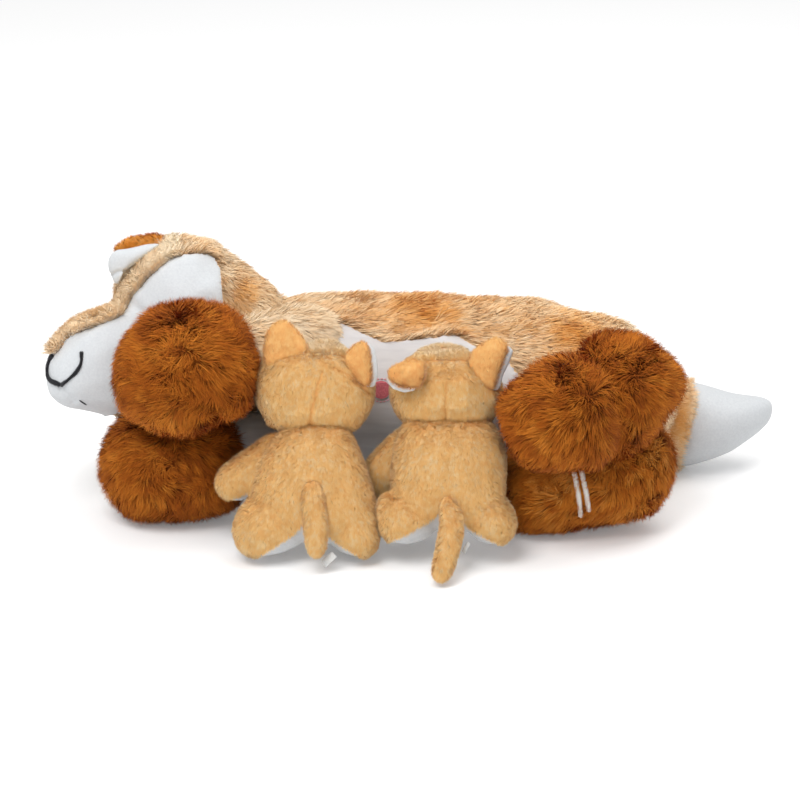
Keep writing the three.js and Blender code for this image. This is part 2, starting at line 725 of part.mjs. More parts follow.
// Two toe lines of twisted yarn, stitched at both ends round the front of the lower hind paw
const YARN_BACK_SHARE = 0.1;
const YARN_STEPS = 7;
function toeYarn(index) {
  const start = lowerHindCentre.x - LOWER_HIND_LENGTH * YARN_BACK_SHARE + (index - 1 / 2) * YARN_PITCH;
  const stand = YARN_RADIUS + FIT * 2;
  const radius = LOWER_HIND_HEIGHT / 2;
  const points = evenly(YARN_STEPS + 1).map((share) => {
    const angle = (1 / 2 - share) * (YARN_LENGTH / radius);
    return vec(
      start + share * YARN_PITCH,
      lowerHindCentre.y - (LOWER_HIND_DEPTH / 2 + stand) * Math.cos(angle),
      lowerHindCentre.z + (radius + stand) * Math.sin(angle),
    );
  });
  const circle = new THREE.Shape();
  circle.absarc(0, 0, YARN_RADIUS, 0, 2 * Math.PI);
  const geometry = new THREE.ExtrudeGeometry(circle, {
    steps: YARN_STEPS + 1,
    curveSegments: 3,
    extrudePath: new THREE.CatmullRomCurve3(points),
  });
  return solid(geometry);
}

const UPPER_ARM_SEAM_SHARE = 0.54;
const LOWER_ARM_SEAM_SHARE = 0.42;
function legs() {
  const inward = vec(0.3, 0.9, 0.1).normalize();
  return [
    ...leg('front_upper', upperFront, inward, armSeam(upperFront, upperPawCentre, UPPER_ARM_SEAM_SHARE)),
    ...leg('front_lower', lowerFront, inward, armSeam(lowerFront, lowerPawCentre, LOWER_ARM_SEAM_SHARE)),
    ...leg('hind_upper', upperHind, Y),
    ...leg('hind_lower', lowerHind, Y),
    ...[0, 1].map((i) => piece(`toe_yarn_${i + 1}`, toeYarn(i), cord(), lowerHip)),
  ];
}

// The tail: a furry root and a smooth white tip
const tailWideShares = [0.9, 1, 0.92, 0.76, 0.56];
const tailRunShares = vec(0.76, 0.18, -0.06);
const TAIL_FULLNESS = 3;
const TAIL_SEAM_SHARE = 0.3;
const tailTip = tailRoot.clone().addScaledVector(tailRunShares, TAIL_LENGTH);
function tailSolid(grow) {
  const whole = stuffed({
    spine: evenly(4).map((share) => tailRoot.clone().lerp(tailTip, share)),
    wides: tailWideShares.map((share) => (share * TAIL_WIDTH) / 2),
    talls: tailWideShares.map((share) => (share * TAIL_WIDTH) / 2),
    fullness: TAIL_FULLNESS,
  }, grow);
  const torsoWays = TAIL_SWING.map((turn) => turnedAbout(torsoClear(grow), tailRoot, Z, -turn));
  return cutBy(whole, torsoWays).add(ball(tailRoot, TAIL_BALL + grow));
}

function tail() {
  const mouth = rod(tailRoot, tailRoot.clone().addScaledVector(X, -TAIL_BALL * 2), TAIL_BALL / 2);
  const shell = tailSolid(0).subtract(tailSolid(-SKIN)).subtract(mouth);
  const normal = vec(0.97, 0.2, 0).normalize();
  const seam = tailRoot.clone().addScaledVector(X, TAIL_LENGTH * TAIL_SEAM_SHARE);
  const past = seam.clone().addScaledVector(normal, FIT);
  return [
    piece('tail_root_skin', shell.subtract(beyond(seam, normal)), tan(), tailRoot),
    piece('tail_tip_skin', shell.intersect(beyond(past, normal)), white(), tailRoot),
    piece('tail_filling', tailSolid(-SKIN - FIT), stuffing(), tailRoot),
  ];
}

// A kit that leans on the belly. Its frame: side, front (towards the belly) and up its back.
const KIT_HEAD_CLEAR_SHARE = 0.24;
const KIT_NECK_BACK_SHARE = 0.16;
const KIT_NECK_DROP_SHARE = 0.36;
function kitFrame(x, headRise) {
  const up = vec(0, Math.sin(KIT_LEAN), Math.cos(KIT_LEAN));
  const front = vec(0, Math.cos(KIT_LEAN), -Math.sin(KIT_LEAN));
  const reach = KIT_HEAD_DEPTH / 2 + KIT_MUZZLE_WIDTH * KIT_HEAD_CLEAR_SHARE;
  const head = vec(x, -reach, NIPPLE_HEIGHT + headRise);
  const neck = head.clone()
    .addScaledVector(Y, -KIT_HEAD_DEPTH * KIT_NECK_BACK_SHARE)
    .addScaledVector(Z, -KIT_HEAD_HEIGHT * KIT_NECK_DROP_SHARE);
  const at = (side, forward, over) => neck.clone()
    .addScaledVector(X, side)
    .addScaledVector(front, forward)
    .addScaledVector(up, over);
  return { up, front, head, neck, at };
}

// A kit's trunk, and where its arms and legs start and end, as shares of its trunk or of an arm's length
const kitTrunkSpineShares = [0.02, 0.35, 0.7, 1];
const kitTrunkWideShares = [0.64, 0.84, 0.98, 1];
const KIT_TRUNK_FULLNESS = 3.6;
const KIT_LIMB_FULLNESS = 4;
const KIT_LIMB_THICK_SHARE = 0.44;
const kitLegRootShares = [0.26, 0, 0.7];
const kitLegEndShares = [0.05, 1.06];
const kitArmRootShares = [0.2, 0, 0.22];
const kitArmRunShares = [0.5, 0.1];
function kitBodySolid(kit, grow) {
  const { at, up, front } = kit;
  const trunk = stuffed({
    spine: kitTrunkSpineShares.map((share) => at(0, 0, -share * KIT_BODY_LENGTH)),
    wides: kitTrunkWideShares.map((share) => (share * KIT_BODY_WIDTH) / 2),
    talls: kitTrunkWideShares.map((share) => (share * KIT_BODY_DEPTH) / 2),
    up: front,
    fullness: KIT_TRUNK_FULLNESS,
    rings: 6,
  }, grow);
  const onTrunk = (side, forward, down) => at(
    side * KIT_BODY_WIDTH,
    forward * KIT_BODY_DEPTH,
    -down * KIT_BODY_LENGTH,
  );
  const limbs = [-1, 1].flatMap((side, i) => {
    const legRoot = onTrunk(side * kitLegRootShares[0], kitLegRootShares[1], kitLegRootShares[2]);
    const legEnd = onTrunk(side * kit.legSpreadShares[i], kitLegEndShares[0], kitLegEndShares[1]);
    const armRoot = onTrunk(side * kitArmRootShares[0], kitArmRootShares[1], kitArmRootShares[2]);
    const armEnd = armRoot.clone()
      .addScaledVector(X, side * KIT_LIMB_LENGTH * kit.armSpreadShares[i])
      .addScaledVector(up, -KIT_LIMB_LENGTH * kitArmRunShares[0])
      .addScaledVector(front, KIT_LIMB_LENGTH * kitArmRunShares[1]);
    return [[legRoot, legEnd], [armRoot, armEnd]].map(([from, to]) => stuffed({
      spine: [from, from.clone().lerp(to, 1 / 2), to],
      wides: [KIT_LIMB_WIDTH / 2, KIT_LIMB_WIDTH / 2],
      talls: [KIT_LIMB_WIDTH * KIT_LIMB_THICK_SHARE, KIT_LIMB_WIDTH * KIT_LIMB_THICK_SHARE],
      up: front,
      fullness: KIT_LIMB_FULLNESS,
      rings: 4,
      sides: 6,
    }, grow));
  });
  const whole = limbs.reduce((body, limb) => body.add(limb), trunk);
  const headWays = [0, KIT_NOD].map(
    (nod) => turnedAbout(kitHeadForm(kit, FIT + SWEEP_ROOM - grow), kit.neck, X, nod),
  );
  return cutBy(whole, [...headWays, torsoClear(grow), belowFloorFor(grow)]);
}

const kitHeadWideShares = [0.46, 0.5, 0.46];
const KIT_HEAD_FULLNESS = 2.3;
const KIT_MUZZLE_REACH_SHARE = 0.4;
const KIT_MUZZLE_TALL_SHARE = 0.42;
function kitHeadForm(kit, grow) {
  const { head } = kit;
  const skull = stuffed({
    spine: acrossMiddle.map((share) => head.clone().addScaledVector(X, share * KIT_HEAD_WIDTH)),
    wides: kitHeadWideShares.map((share) => share * KIT_HEAD_DEPTH),
    talls: [KIT_HEAD_HEIGHT / 2, KIT_HEAD_HEIGHT / 2],
    fullness: KIT_HEAD_FULLNESS,
    rings: 5,
    sides: 10,
  }, grow);
  const nose = vec(head.x, 0, NIPPLE_HEIGHT);
  const muzzle = stuffed({
    spine: [
      head,
      head.clone().lerp(nose, 1 / 2),
      nose.clone().addScaledVector(Y, KIT_MUZZLE_WIDTH * KIT_MUZZLE_REACH_SHARE),
    ],
    wides: [KIT_MUZZLE_WIDTH / 2, KIT_MUZZLE_WIDTH / 2],
    talls: [KIT_MUZZLE_WIDTH * KIT_MUZZLE_TALL_SHARE, KIT_MUZZLE_WIDTH * KIT_MUZZLE_TALL_SHARE],
    fullness: KIT_LIMB_FULLNESS,
    rings: 4,
    sides: 8,
  }, grow);
  return skull.add(muzzle);
}

function kitHeadSolid(kit, grow) {
  return kitHeadForm(kit, grow)
    .subtract(torsoForm(NIPPLE_THICK + FIT * 2 - grow))
    .add(ball(kit.neck, KIT_NECK_BALL + grow));
}

const kitTailWideShares = [0.4, 0.5, 0.46];
function kitTailSolid(kit) {
  const { tailFrom, tailTo } = kit;
  const whole = stuffed({
    spine: [tailFrom, tailFrom.clone().lerp(tailTo, 1 / 2).add(kit.tailBend), tailTo],
    wides: kitTailWideShares.map((share) => share * KIT_TAIL_WIDTH),
    talls: kitTailWideShares.map((share) => share * KIT_TAIL_WIDTH),
    up: X,
    fullness: KIT_LIMB_FULLNESS,
    rings: 5,
    sides: 8,
  });
  const bodyWays = [0, KIT_TAIL_LIFT].map((lift) => turnedAbout(kitBodySolid(kit, FIT), tailFrom, X, lift));
  return cutBy(whole, bodyWays).add(ball(tailFrom, KIT_TAIL_BALL)).subtract(belowFloorFor(0));
}

function kitEars(name, kit) {
  const { head } = kit;
  return kit.ears.flatMap(({ label, rootShares, way, face }) => {
    const [x, y, z] = rootShares;
    return ear({
      name: `${name}_ear_${label}`,
      root: head.clone().add(vec(x * KIT_HEAD_WIDTH, y * KIT_HEAD_DEPTH, z * KIT_HEAD_HEIGHT)),
      way: way.clone().normalize(),
      face: face.clone().normalize(),
      length: KIT_EAR_LENGTH,
      width: KIT_EAR_WIDTH,
      thick: KIT_EAR_THICK,
      obstacles: [kitHeadForm(kit, FIT)],
      backColour: apricot(),
      liningColour: white(),
    });
  });
}

const KIT_UNDERSIDE_SHARE = 0.1;
const KIT_MAGNET_BACK_SHARE = 0.2;
function kitPieces(name, kit) {
  const { neck, up, front, at } = kit;
  const sockets = [socket(neck, KIT_NECK_BALL), socket(kit.tailFrom, KIT_TAIL_BALL)];
  const shell = cutBy(kitBodySolid(kit, 0), [kitBodySolid(kit, -KIT_SKIN), ...sockets]);
  const underside = at(0, KIT_BODY_DEPTH * KIT_UNDERSIDE_SHARE, 0);
  const under = (grow) => beyond(underside.clone().addScaledVector(front, -grow), front);
  const bodyFilling = cutBy(kitBodySolid(kit, -KIT_SKIN - FIT), sockets);
  const mouth = rod(neck, neck.clone().addScaledVector(up, -KIT_NECK_BALL * 2), KIT_NECK_BALL / 2);
  const headShell = kitHeadSolid(kit, 0).subtract(kitHeadSolid(kit, -KIT_SKIN)).subtract(mouth);
  const magnetSeat = vec(kit.head.x, -KIT_MUZZLE_WIDTH * KIT_MAGNET_BACK_SHARE, NIPPLE_HEIGHT);
  const magnet = (frontGrow, grow) => rod(
    magnetSeat.clone().addScaledVector(Y, -KIT_MAGNET_THICK - grow),
    magnetSeat.clone().addScaledVector(Y, frontGrow),
    KIT_MAGNET_RADIUS + grow,
    10,
  );
  const headFilling = kitHeadSolid(kit, -KIT_SKIN - FIT).subtract(magnet(KIT_MUZZLE_WIDTH, FIT));
  return [
    piece(`${name}_back_skin`, shell.subtract(under(FIT)), apricot(), neck),
    piece(`${name}_belly_panel`, shell.intersect(under(0)), white(), neck),
    piece(`${name}_body_filling`, bodyFilling, stuffing(), neck),
    piece(`${name}_head_skin`, headShell, apricot(), neck),
    piece(`${name}_head_filling`, headFilling, stuffing(), neck),
    piece(`${name}_nose_magnet`, magnet(0, 0), steel(), neck),
    piece(`${name}_tail`, kitTailSolid(kit), apricot(), kit.tailFrom),
    piece(`${name}_sewn_tab`, kitTab(kit), white(), neck),
    ...kitEars(name, kit),
  ];
}

// A bare woven tab that slopes out of the rump's seam
function kitTab(kit) {
  const rump = kit.at(
    kit.tabSideShare * KIT_TAIL_WIDTH,
    -KIT_BODY_DEPTH * TAB_REACH_SHARE,
    -KIT_BODY_LENGTH,
  );
  const tab = new THREE.BoxGeometry(TAB_WIDTH, TAB_THICK, TAB_DROP).rotateX(-TAB_SLOPE);
  return solid(tab.translate(rump.x, rump.y, TAB_RISE)).subtract(kitBodySolid(kit, FIT));
}

// The two kits differ in how they lie: limbs, tail and ears, as shares of their own sizes
const kitDesigns = [
  {
    nipple: 0,
    headRiseShare: 0.16,
    legSpreadShares: [0.52, 0.38],
    armSpreadShares: [1.08, 0.5],
    tabSideShare: 0.8,
    tailRootShares: [-0.1, -0.46, -0.52],
    tailEndShares: [0.15, -1.1, 0.2],
    tailBendShares: [0, -0.12, 0],
    ears: [
      { label: 'left', rootShares: [-0.235, 0, 0.36], way: vec(-0.06, 0.1, 1), face: vec(0.2, 1, -0.1) },
      { label: 'right', rootShares: [0.36, 0, 0.2], way: vec(0.3, 0.1, 1), face: vec(0.65, 0.75, -0.2) },
    ],
  },
  {
    nipple: 2,
    headRiseShare: 0.24,
    legSpreadShares: [0.38, 0.46],
    armSpreadShares: [0.7, 0.5],
    tabSideShare: 1.1,
    tailRootShares: [0, -0.46, -0.5],
    tailEndShares: [-0.1, -2.3, 0.3],
    tailBendShares: [0.3, 0, 0.1],
    ears: [
      { label: 'left', rootShares: [-0.2, -0.3, 0.4], way: vec(-0.8, -0.3, -0.45), face: vec(-0.1, 0.8, -0.6) },
      { label: 'right', rootShares: [0.34, 0, 0.14], way: vec(0.16, 0.1, 1), face: vec(0.75, 0.65, -0.2) },
    ],
  },
];

function kits() {
  return kitDesigns.flatMap((design, i) => {
    const x = nipplePlaces[design.nipple].point.x;
    const frame = kitFrame(x, KIT_HEAD_HEIGHT * design.headRiseShare);
    const [side, forward, over] = design.tailRootShares;
    const [endSide, endOut, endRise] = design.tailEndShares;
    const tailFrom = frame.at(side * KIT_TAIL_WIDTH, forward * KIT_BODY_DEPTH, over * KIT_BODY_LENGTH);
    const tailTo = vec(x, tailFrom.y, 0)
      .add(vec(endSide, endOut, endRise).multiplyScalar(KIT_TAIL_WIDTH));
    const tailBend = vec(...design.tailBendShares).multiplyScalar(KIT_TAIL_WIDTH);
    return kitPieces(`kit_${i + 1}`, { ...design, ...frame, tailFrom, tailTo, tailBend });
  });
}

const fox = new THREE.Group();
fox.add(...torso(), ...head(), ...ears(), ...legs(), ...tail(), ...kits());

// The origin is at the middle of the floor under the whole set
const bounds = new THREE.Box3().setFromObject(fox);
const middle = bounds.getCenter(vec(0, 0, 0));
fox.position.set(-middle.x, -middle.y, -bounds.min.z);

export default fox;
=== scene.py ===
# A nursing plush fox on its side with two small plush kits at its belly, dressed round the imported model.
import json
import math
from itertools import product

import bmesh
import bpy
import numpy as np
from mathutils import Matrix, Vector
from mathutils.bvhtree import BVHTree


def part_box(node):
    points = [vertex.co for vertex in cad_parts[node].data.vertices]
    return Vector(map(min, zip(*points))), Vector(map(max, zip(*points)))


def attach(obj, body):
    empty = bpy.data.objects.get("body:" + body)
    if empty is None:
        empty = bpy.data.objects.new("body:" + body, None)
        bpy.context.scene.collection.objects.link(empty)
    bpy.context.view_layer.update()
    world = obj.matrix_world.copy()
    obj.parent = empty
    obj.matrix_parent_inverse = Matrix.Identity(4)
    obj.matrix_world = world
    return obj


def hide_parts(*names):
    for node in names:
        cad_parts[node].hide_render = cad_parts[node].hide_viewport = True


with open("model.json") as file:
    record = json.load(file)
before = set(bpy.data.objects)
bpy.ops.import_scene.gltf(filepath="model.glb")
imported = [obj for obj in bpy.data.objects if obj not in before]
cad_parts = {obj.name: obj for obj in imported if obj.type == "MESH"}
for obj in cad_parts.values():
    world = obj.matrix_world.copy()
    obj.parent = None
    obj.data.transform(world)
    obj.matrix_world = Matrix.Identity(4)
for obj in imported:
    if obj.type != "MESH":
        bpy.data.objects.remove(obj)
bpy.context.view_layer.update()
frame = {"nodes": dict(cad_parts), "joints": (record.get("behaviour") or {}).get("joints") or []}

MM = 0.001
SEED = 7

# Where the photograph's camera stands

# The source's zero lies here in the row frame: the middle nipple and the torso are known in both
NIPPLE_SOURCE_X = -18.12 * MM
TORSO_SOURCE_Y = 71.2 * MM
nipple_low, nipple_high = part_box("nipple_2")
torso_low, torso_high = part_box("torso_back_skin")
ORIGIN = Vector((
    (nipple_low.x + nipple_high.x) / 2 - NIPPLE_SOURCE_X,
    (torso_low.y + torso_high.y) / 2 - TORSO_SOURCE_Y,
    0,
))

PHOTO = 800
PIXELS_PER_MM = 1.517
CAMERA_DISTANCE = 1800 * MM
CAMERA_TILT = math.radians(20)
PHOTO_FLOOR_ROW = 512
PHOTO_ZERO_COLUMN = 409
SENSOR = 36

view_ahead = Vector((0, math.cos(CAMERA_TILT), -math.sin(CAMERA_TILT)))
view_up = Vector((0, math.sin(CAMERA_TILT), math.cos(CAMERA_TILT)))
view_right = Vector((1, 0, 0))
aim = (
    ORIGIN
    + view_up * ((PHOTO_FLOOR_ROW - PHOTO / 2) / PIXELS_PER_MM * MM)
    + view_right * ((PHOTO / 2 - PHOTO_ZERO_COLUMN) / PIXELS_PER_MM * MM)
)
eye = aim - view_ahead * CAMERA_DISTANCE
# Depths are counted along the view from the source's zero
ZERO_DEPTH = (ORIGIN - eye).dot(view_ahead)
# The same directions and the camera's place as arrays
AHEAD, UP, RIGHT, EYE = (np.array(v) for v in (view_ahead, view_up, view_right, eye))


def placed(name, data):
    """A new object in the scene."""
    obj = bpy.data.objects.new(name, data)
    bpy.context.scene.collection.objects.link(obj)
    return obj


def aimed(obj, place, way):
    obj.location = place
    obj.rotation_mode = "QUATERNION"
    obj.rotation_quaternion = way.to_track_quat("-Z", "Y")


def add_camera():
    data = bpy.data.cameras.new("camera")
    data.sensor_width = SENSOR
    half_frame = PHOTO / 2 / PIXELS_PER_MM * MM
    data.lens = SENSOR / 2 / (half_frame / CAMERA_DISTANCE)
    data.clip_start, data.clip_end = 0.05, 20
    bpy.context.scene.camera = placed("camera", data)
    aimed(bpy.context.scene.camera, eye, view_ahead)


def photo_places(points):
    """Where points of the row frame show in the photograph, a column and a row each."""
    away = points - EYE
    scale = CAMERA_DISTANCE * PIXELS_PER_MM / MM / (away @ AHEAD)
    return np.stack([PHOTO / 2 + (away @ RIGHT) * scale, PHOTO / 2 - (away @ UP) * scale], 1)


def depths_of(points):
    """How far beyond the source's zero points lie along the view, in millimetres."""
    return ((points - EYE) @ AHEAD - ZERO_DEPTH) / MM


def photo_points(places, depths):
    """Points of the row frame that show at these places and lie at these depths, in millimetres."""
    places = np.asarray(places, float)
    away = (ZERO_DEPTH + np.broadcast_to(depths, len(places)) * MM)[:, None]
    across = (places - PHOTO / 2) / PIXELS_PER_MM * MM * away / CAMERA_DISTANCE
    return EYE + away * AHEAD + across[:, :1] * RIGHT - across[:, 1:] * UP


def row_point(x, y, z):
    return Vector((x, y, z)) * MM + ORIGIN


# Randomness that is the same each run

# Large numbers that scatter the bits of a cell's place
CELL_SCATTER = (73856093, 19349663, 83492791)
SEED_SCATTER = 2971215073
LAST_SCATTER = 1274126177


def hashed(cells, seed):
    """A random value from -1 to 1 for each cell of a lattice."""
    x, y, z = (cells[:, k] * scatter for k, scatter in enumerate(CELL_SCATTER))
    mixed = x ^ y ^ z ^ seed * SEED_SCATTER
    mixed = (mixed ^ (mixed >> 13)) * LAST_SCATTER
    return ((mixed ^ (mixed >> 16)) & 0xFFFF) / 32767.5 - 1


def lattice_noise(points, seed):
    """Smooth random values from -1 to 1, one for each point, with cells one unit wide."""
    cell = np.floor(points).astype(np.int64)
    share = points - cell
    share = share * share * (3 - 2 * share)
    total = np.zeros(len(points))
    for corner in product((0, 1), repeat=3):
        weight = np.prod(np.where(np.array(corner) == 1, share, 1 - share), axis=1)
        total += weight * hashed(cell + np.array(corner), seed)
    return total


def noise_vectors(points, seed):
    return np.stack([lattice_noise(points, seed + k) for k in range(3)], 1)


# How far a tuft's middle may lie from the middle of its cell
TUFT_SHIFT = 0.45


def tufts(points, size, seed):
    """For each point the middle of the tuft that it stands in, and a random value of that tuft."""
    cell = np.floor(points / size).astype(np.int64)
    best = np.full(len(points), np.inf)
    middle = points.copy()
    value = np.zeros(len(points))
    for step in product((-1, 0, 1), repeat=3):
        at = cell + np.array(step)
        shift = np.stack([hashed(at, seed + k) for k in range(3)], 1)
        place = (at + 0.5 + TUFT_SHIFT * shift) * size
        away = ((place - points) ** 2).sum(1)
        closer = away < best
        best[closer] = away[closer]
        middle[closer] = place[closer]
        value[closer] = hashed(at[closer], seed + 9)
    return middle, value


def unit(vectors):
    return vectors / np.maximum(np.linalg.norm(vectors, axis=1, keepdims=True), 1e-9)


# Outlines and lines measured in the photograph


def inside_outline(places, outline):
    """Which of the places lie inside the outline."""
    x, y = places.T
    inside = np.zeros(len(places), bool)
    for (x0, y0), (x1, y1) in zip(outline, outline[1:] + outline[:1]):
        level = (y0 > y) != (y1 > y)
        inside ^= level & (x < (x1 - x0) * (y - y0) / (y1 - y0 + 1e-12) + x0)
    return inside


def nearest_on(places, line, closed=False):
    """The nearest place on a line, and how far off that is, in millimetres."""
    best = np.full(len(places), np.inf)
    nearest = places.copy()
    for start, end in zip(line, line[1:] + line[:1] if closed else line[1:]):
        start, along = np.array(start, float), np.subtract(end, start).astype(float)
        share = np.clip((places - start) @ along / (along @ along), 0, 1)
        place = start + share[:, None] * along
        away = np.linalg.norm(places - place, axis=1)
        closer = away < best
        best[closer] = away[closer]
        nearest[closer] = place[closer]
    return nearest, best / PIXELS_PER_MM


def spaced(line, count=None, step=None):
    """Even places along a line: a count of them, its end left out, or a step in millimetres apart."""
    corners = np.array(line, float)
    run = np.concatenate([[0], np.cumsum(np.linalg.norm(np.diff(corners, axis=0), axis=1))])
    if count:
        at = np.linspace(0, run[-1], count, endpoint=False)
    else:
        at = np.linspace(0, run[-1], max(int(run[-1] / PIXELS_PER_MM / step), 3))
    return np.stack([np.interp(at, run, corners[:, k]) for k in range(2)], 1)


def rounded(outline, count=72, rounds=2):
    """An outline as evenly spaced places with its corners eased."""
    places = spaced(outline + outline[:1], count)
    for _ in range(rounds):
        places = places / 2 + (np.roll(places, 1, 0) + np.roll(places, -1, 0)) / 4
    following = np.roll(places, -1, 0)
    if (places[:, 0] * following[:, 1] - places[:, 1] * following[:, 0]).sum() < 0:
        places = places[::-1]
    return places


# Surfaces

# Nothing lies closer to the floor than this
FLOOR_GAP = 0.2 * MM


class Surface:
    """A triangle mesh held as arrays: points, triangles and a normal at each point."""

    def __init__(self, points, triangles):
        self.points = points
        self.triangles = triangles
        self.renew()

    def renew(self):
        a, b, c = (self.points[self.triangles[:, k]] for k in range(3))
        crosses = np.cross(b - a, c - a)
        self.areas = np.linalg.norm(crosses, axis=1) / 2
        normals = np.zeros_like(self.points)
        for k in range(3):
            np.add.at(normals, self.triangles[:, k], crosses)
        self.normals = unit(normals)
        self.faces_out = unit(crosses)

    def moved(self, by):
        """Each point moved out along its normal, and none below the floor."""
        self.points = self.points + self.normals * np.reshape(by, (-1, 1))
        self.points[:, 2] = np.maximum(self.points[:, 2], FLOOR_GAP)
        self.renew()
        return self

    def part(self, keep):
        """The triangles that keep holds true for, as a surface of its own."""
        chosen = self.triangles[keep]
        used, flat = np.unique(chosen, return_inverse=True)
        made = Surface(self.points[used], flat.reshape(-1, 3))
        made.normals = self.normals[used]
        return made

    def eased(self, values, rounds):
        """Values at the points, evened out along the mesh."""
        for _ in range(rounds):
            means = values[self.triangles].mean(1)
            total, count = np.zeros(len(values)), np.zeros(len(values))
            for k in range(3):
                np.add.at(total, self.triangles[:, k], means)
                np.add.at(count, self.triangles[:, k], 1)
            values = total / np.maximum(count, 1)
        return values

    def share_of(self, chosen, rounds):
        """1 at the points of the chosen triangles and 0 at the others, eased where they meet."""
        share = np.zeros(len(self.points))
        share[np.unique(self.triangles[chosen])] = 1
        return self.eased(share, rounds)

    def centres(self):
        return self.points[self.triangles].mean(1)

    def tree(self):
        return BVHTree.FromPolygons(self.points.tolist(), self.triangles.tolist())


def arrays_of(mesh):
    mesh.calc_loop_triangles()
    points = np.zeros(len(mesh.vertices) * 3)
    mesh.vertices.foreach_get("co", points)
    triangles = np.zeros(len(mesh.loop_triangles) * 3, np.int64)
    mesh.loop_triangles.foreach_get("vertices", triangles)
    return points.reshape(-1, 3), triangles.reshape(-1, 3)


def node(name):
    return arrays_of(frame["nodes"][name].data)


def ball(centre, radius):
    made = bmesh.new()
    bmesh.ops.create_icosphere(made, subdivisions=3, radius=radius * MM)
    points = np.array([v.co for v in made.verts]) + np.array(centre)
    triangles = np.array([[v.index for v in f.verts] for f in made.faces])
    made.free()
    return points, triangles


def limb(*steps):
    """Balls strung along a path of source places, each x, y, z and radius in millimetres."""
    balls = []
    for start, end in zip(steps, steps[1:]):
        for share in np.linspace(0, 1, 7):
            x, y, z, radius = (1 - share) * np.array(start) + share * np.array(end)
            balls.append(ball(row_point(x, y, z), radius))
    return balls


def pillow(outline, depth, front, back, lean=0.0, fullness=2.0):
    """A closed stuffed form with this outline in the photograph, its lower part nearer where it leans."""
    edge = rounded(outline)
    steps = len(edge)
    middle = edge.mean(0)
    rings = 9
    shares = np.sin(np.linspace(0, np.pi / 2, rings + 1))[1:]
    places = (middle + shares[:, None, None] * (edge - middle)).reshape(-1, 2)
    bulge = np.repeat(np.maximum(1 - shares**fullness, 0) ** (1 / fullness), steps)
    own = depth - lean * (places[:, 1] - middle[1]) / PIXELS_PER_MM
    inner = steps * (rings - 1)
    points = np.concatenate([
        photo_points([middle], [depth - front]),
        photo_points(places, own - front * bulge),
        photo_points([middle], [depth + back]),
        photo_points(places[:inner], (own + back * bulge)[:inner]),
    ])
    triangles = []
    far = 1 + steps * rings
    for j in range(steps):
        k = (j + 1) % steps
        triangles.append((0, 1 + k, 1 + j))
        triangles.append((far, far + 1 + j, far + 1 + k))
        for ring in range(rings - 1):
            a, b = 1 + ring * steps, 1 + (ring + 1) * steps
            triangles += [(a + j, a + k, b + j), (a + k, b + k, b + j)]
            a = far + 1 + ring * steps
            b = far + 1 + (ring + 1) * steps if ring < rings - 2 else 1 + (rings - 1) * steps
            triangles += [(a + j, b + j, a + k), (a + k, b + j, b + k)]
    return points, np.array(triangles)


def largest_island(points, triangles):
    """Drops the closed shells that a remesh leaves inside."""
    label = np.arange(len(points))
    while True:
        low = label[triangles].min(1)
        new = label.copy()
        for k in range(3):
            np.minimum.at(new, triangles[:, k], low)
        new = new[new]
        if (new == label).all():
            break
        label = new
    kinds, counts = np.unique(label, return_counts=True)
    keep = label[triangles[:, 0]] == kinds[counts.argmax()]
    used, flat = np.unique(triangles[keep], return_inverse=True)
    return points[used], flat.reshape(-1, 3)


def gathered(parts, voxel, rounds, swell):
    """One smooth closed surface round several overlapping closed forms."""
    offset, points, triangles = 0, [], []
    for p, t in parts:
        points.append(p)
        triangles.append(t + offset)
        offset += len(p)
    mesh = bpy.data.meshes.new("gathered")
    mesh.from_pydata(np.concatenate(points).tolist(), [], np.concatenate(triangles).tolist())
    obj = placed("gathered", mesh)
    remesh = obj.modifiers.new("remesh", "REMESH")
    remesh.mode = "VOXEL"
    remesh.voxel_size = voxel * MM
    smooth = obj.modifiers.new("smooth", "SMOOTH")
    smooth.factor = 0.5
    smooth.iterations = rounds
    evaluated = obj.evaluated_get(bpy.context.evaluated_depsgraph_get())
    result = evaluated.to_mesh()
    points, triangles = arrays_of(result)
    evaluated.to_mesh_clear()
    bpy.data.objects.remove(obj)
    bpy.data.meshes.remove(mesh)
    return Surface(*largest_island(points, triangles)).moved(swell * MM)


def faces_camera(normals, least=-0.15):
    return -(normals @ AHEAD) > least


def snapped(surface, outline, reach=1.1):
    """Points near an outline moved onto it, so that two cloths meet along a clean line."""
    nearest, away = nearest_on(photo_places(surface.points), outline, closed=True)
    near = (away < reach) & faces_camera(surface.normals)
    surface.points[near] = photo_points(nearest[near], depths_of(surface.points[near]))
    surface.renew()


def dented(surface, lines, depth=1.0, width=1.5):
    """Seams and creases pressed into the side that faces the camera."""
    for line in lines:
        _, away = nearest_on(photo_places(surface.points), line)
        depths = np.exp(-((away / width) ** 2)) * faces_camera(surface.normals)
        surface.moved(-depth * MM * depths)


def warped(surface, outline, middle, slots=90):
    """The surface stretched across the view until its silhouette is this outline."""
    def turn_and_reach(places):
        """Each place's turn round the middle, and the farthest reach in each slot of a full turn."""
        turn = np.arctan2(places[:, 1], places[:, 0])
        slot_of = np.floor((turn + np.pi) / (2 * np.pi) * slots).astype(int) % slots
        farthest = np.zeros(slots)
        np.maximum.at(farthest, slot_of, np.hypot(*places.T))
        return turn, farthest

    places = photo_places(surface.points) - middle
    turn, own = turn_and_reach(places)
    _, goal = turn_and_reach(rounded(outline, count=720, rounds=4) - middle)
    ratio = goal / own
    ratio = ratio / 2 + (np.roll(ratio, 1) + np.roll(ratio, -1)) / 4
    at = (np.arange(slots) + 0.5) / slots * 2 * np.pi - np.pi
    scale = np.interp(turn, at, ratio, period=2 * np.pi)
    surface.points = photo_points(middle + places * scale[:, None], depths_of(surface.points))
    surface.renew()


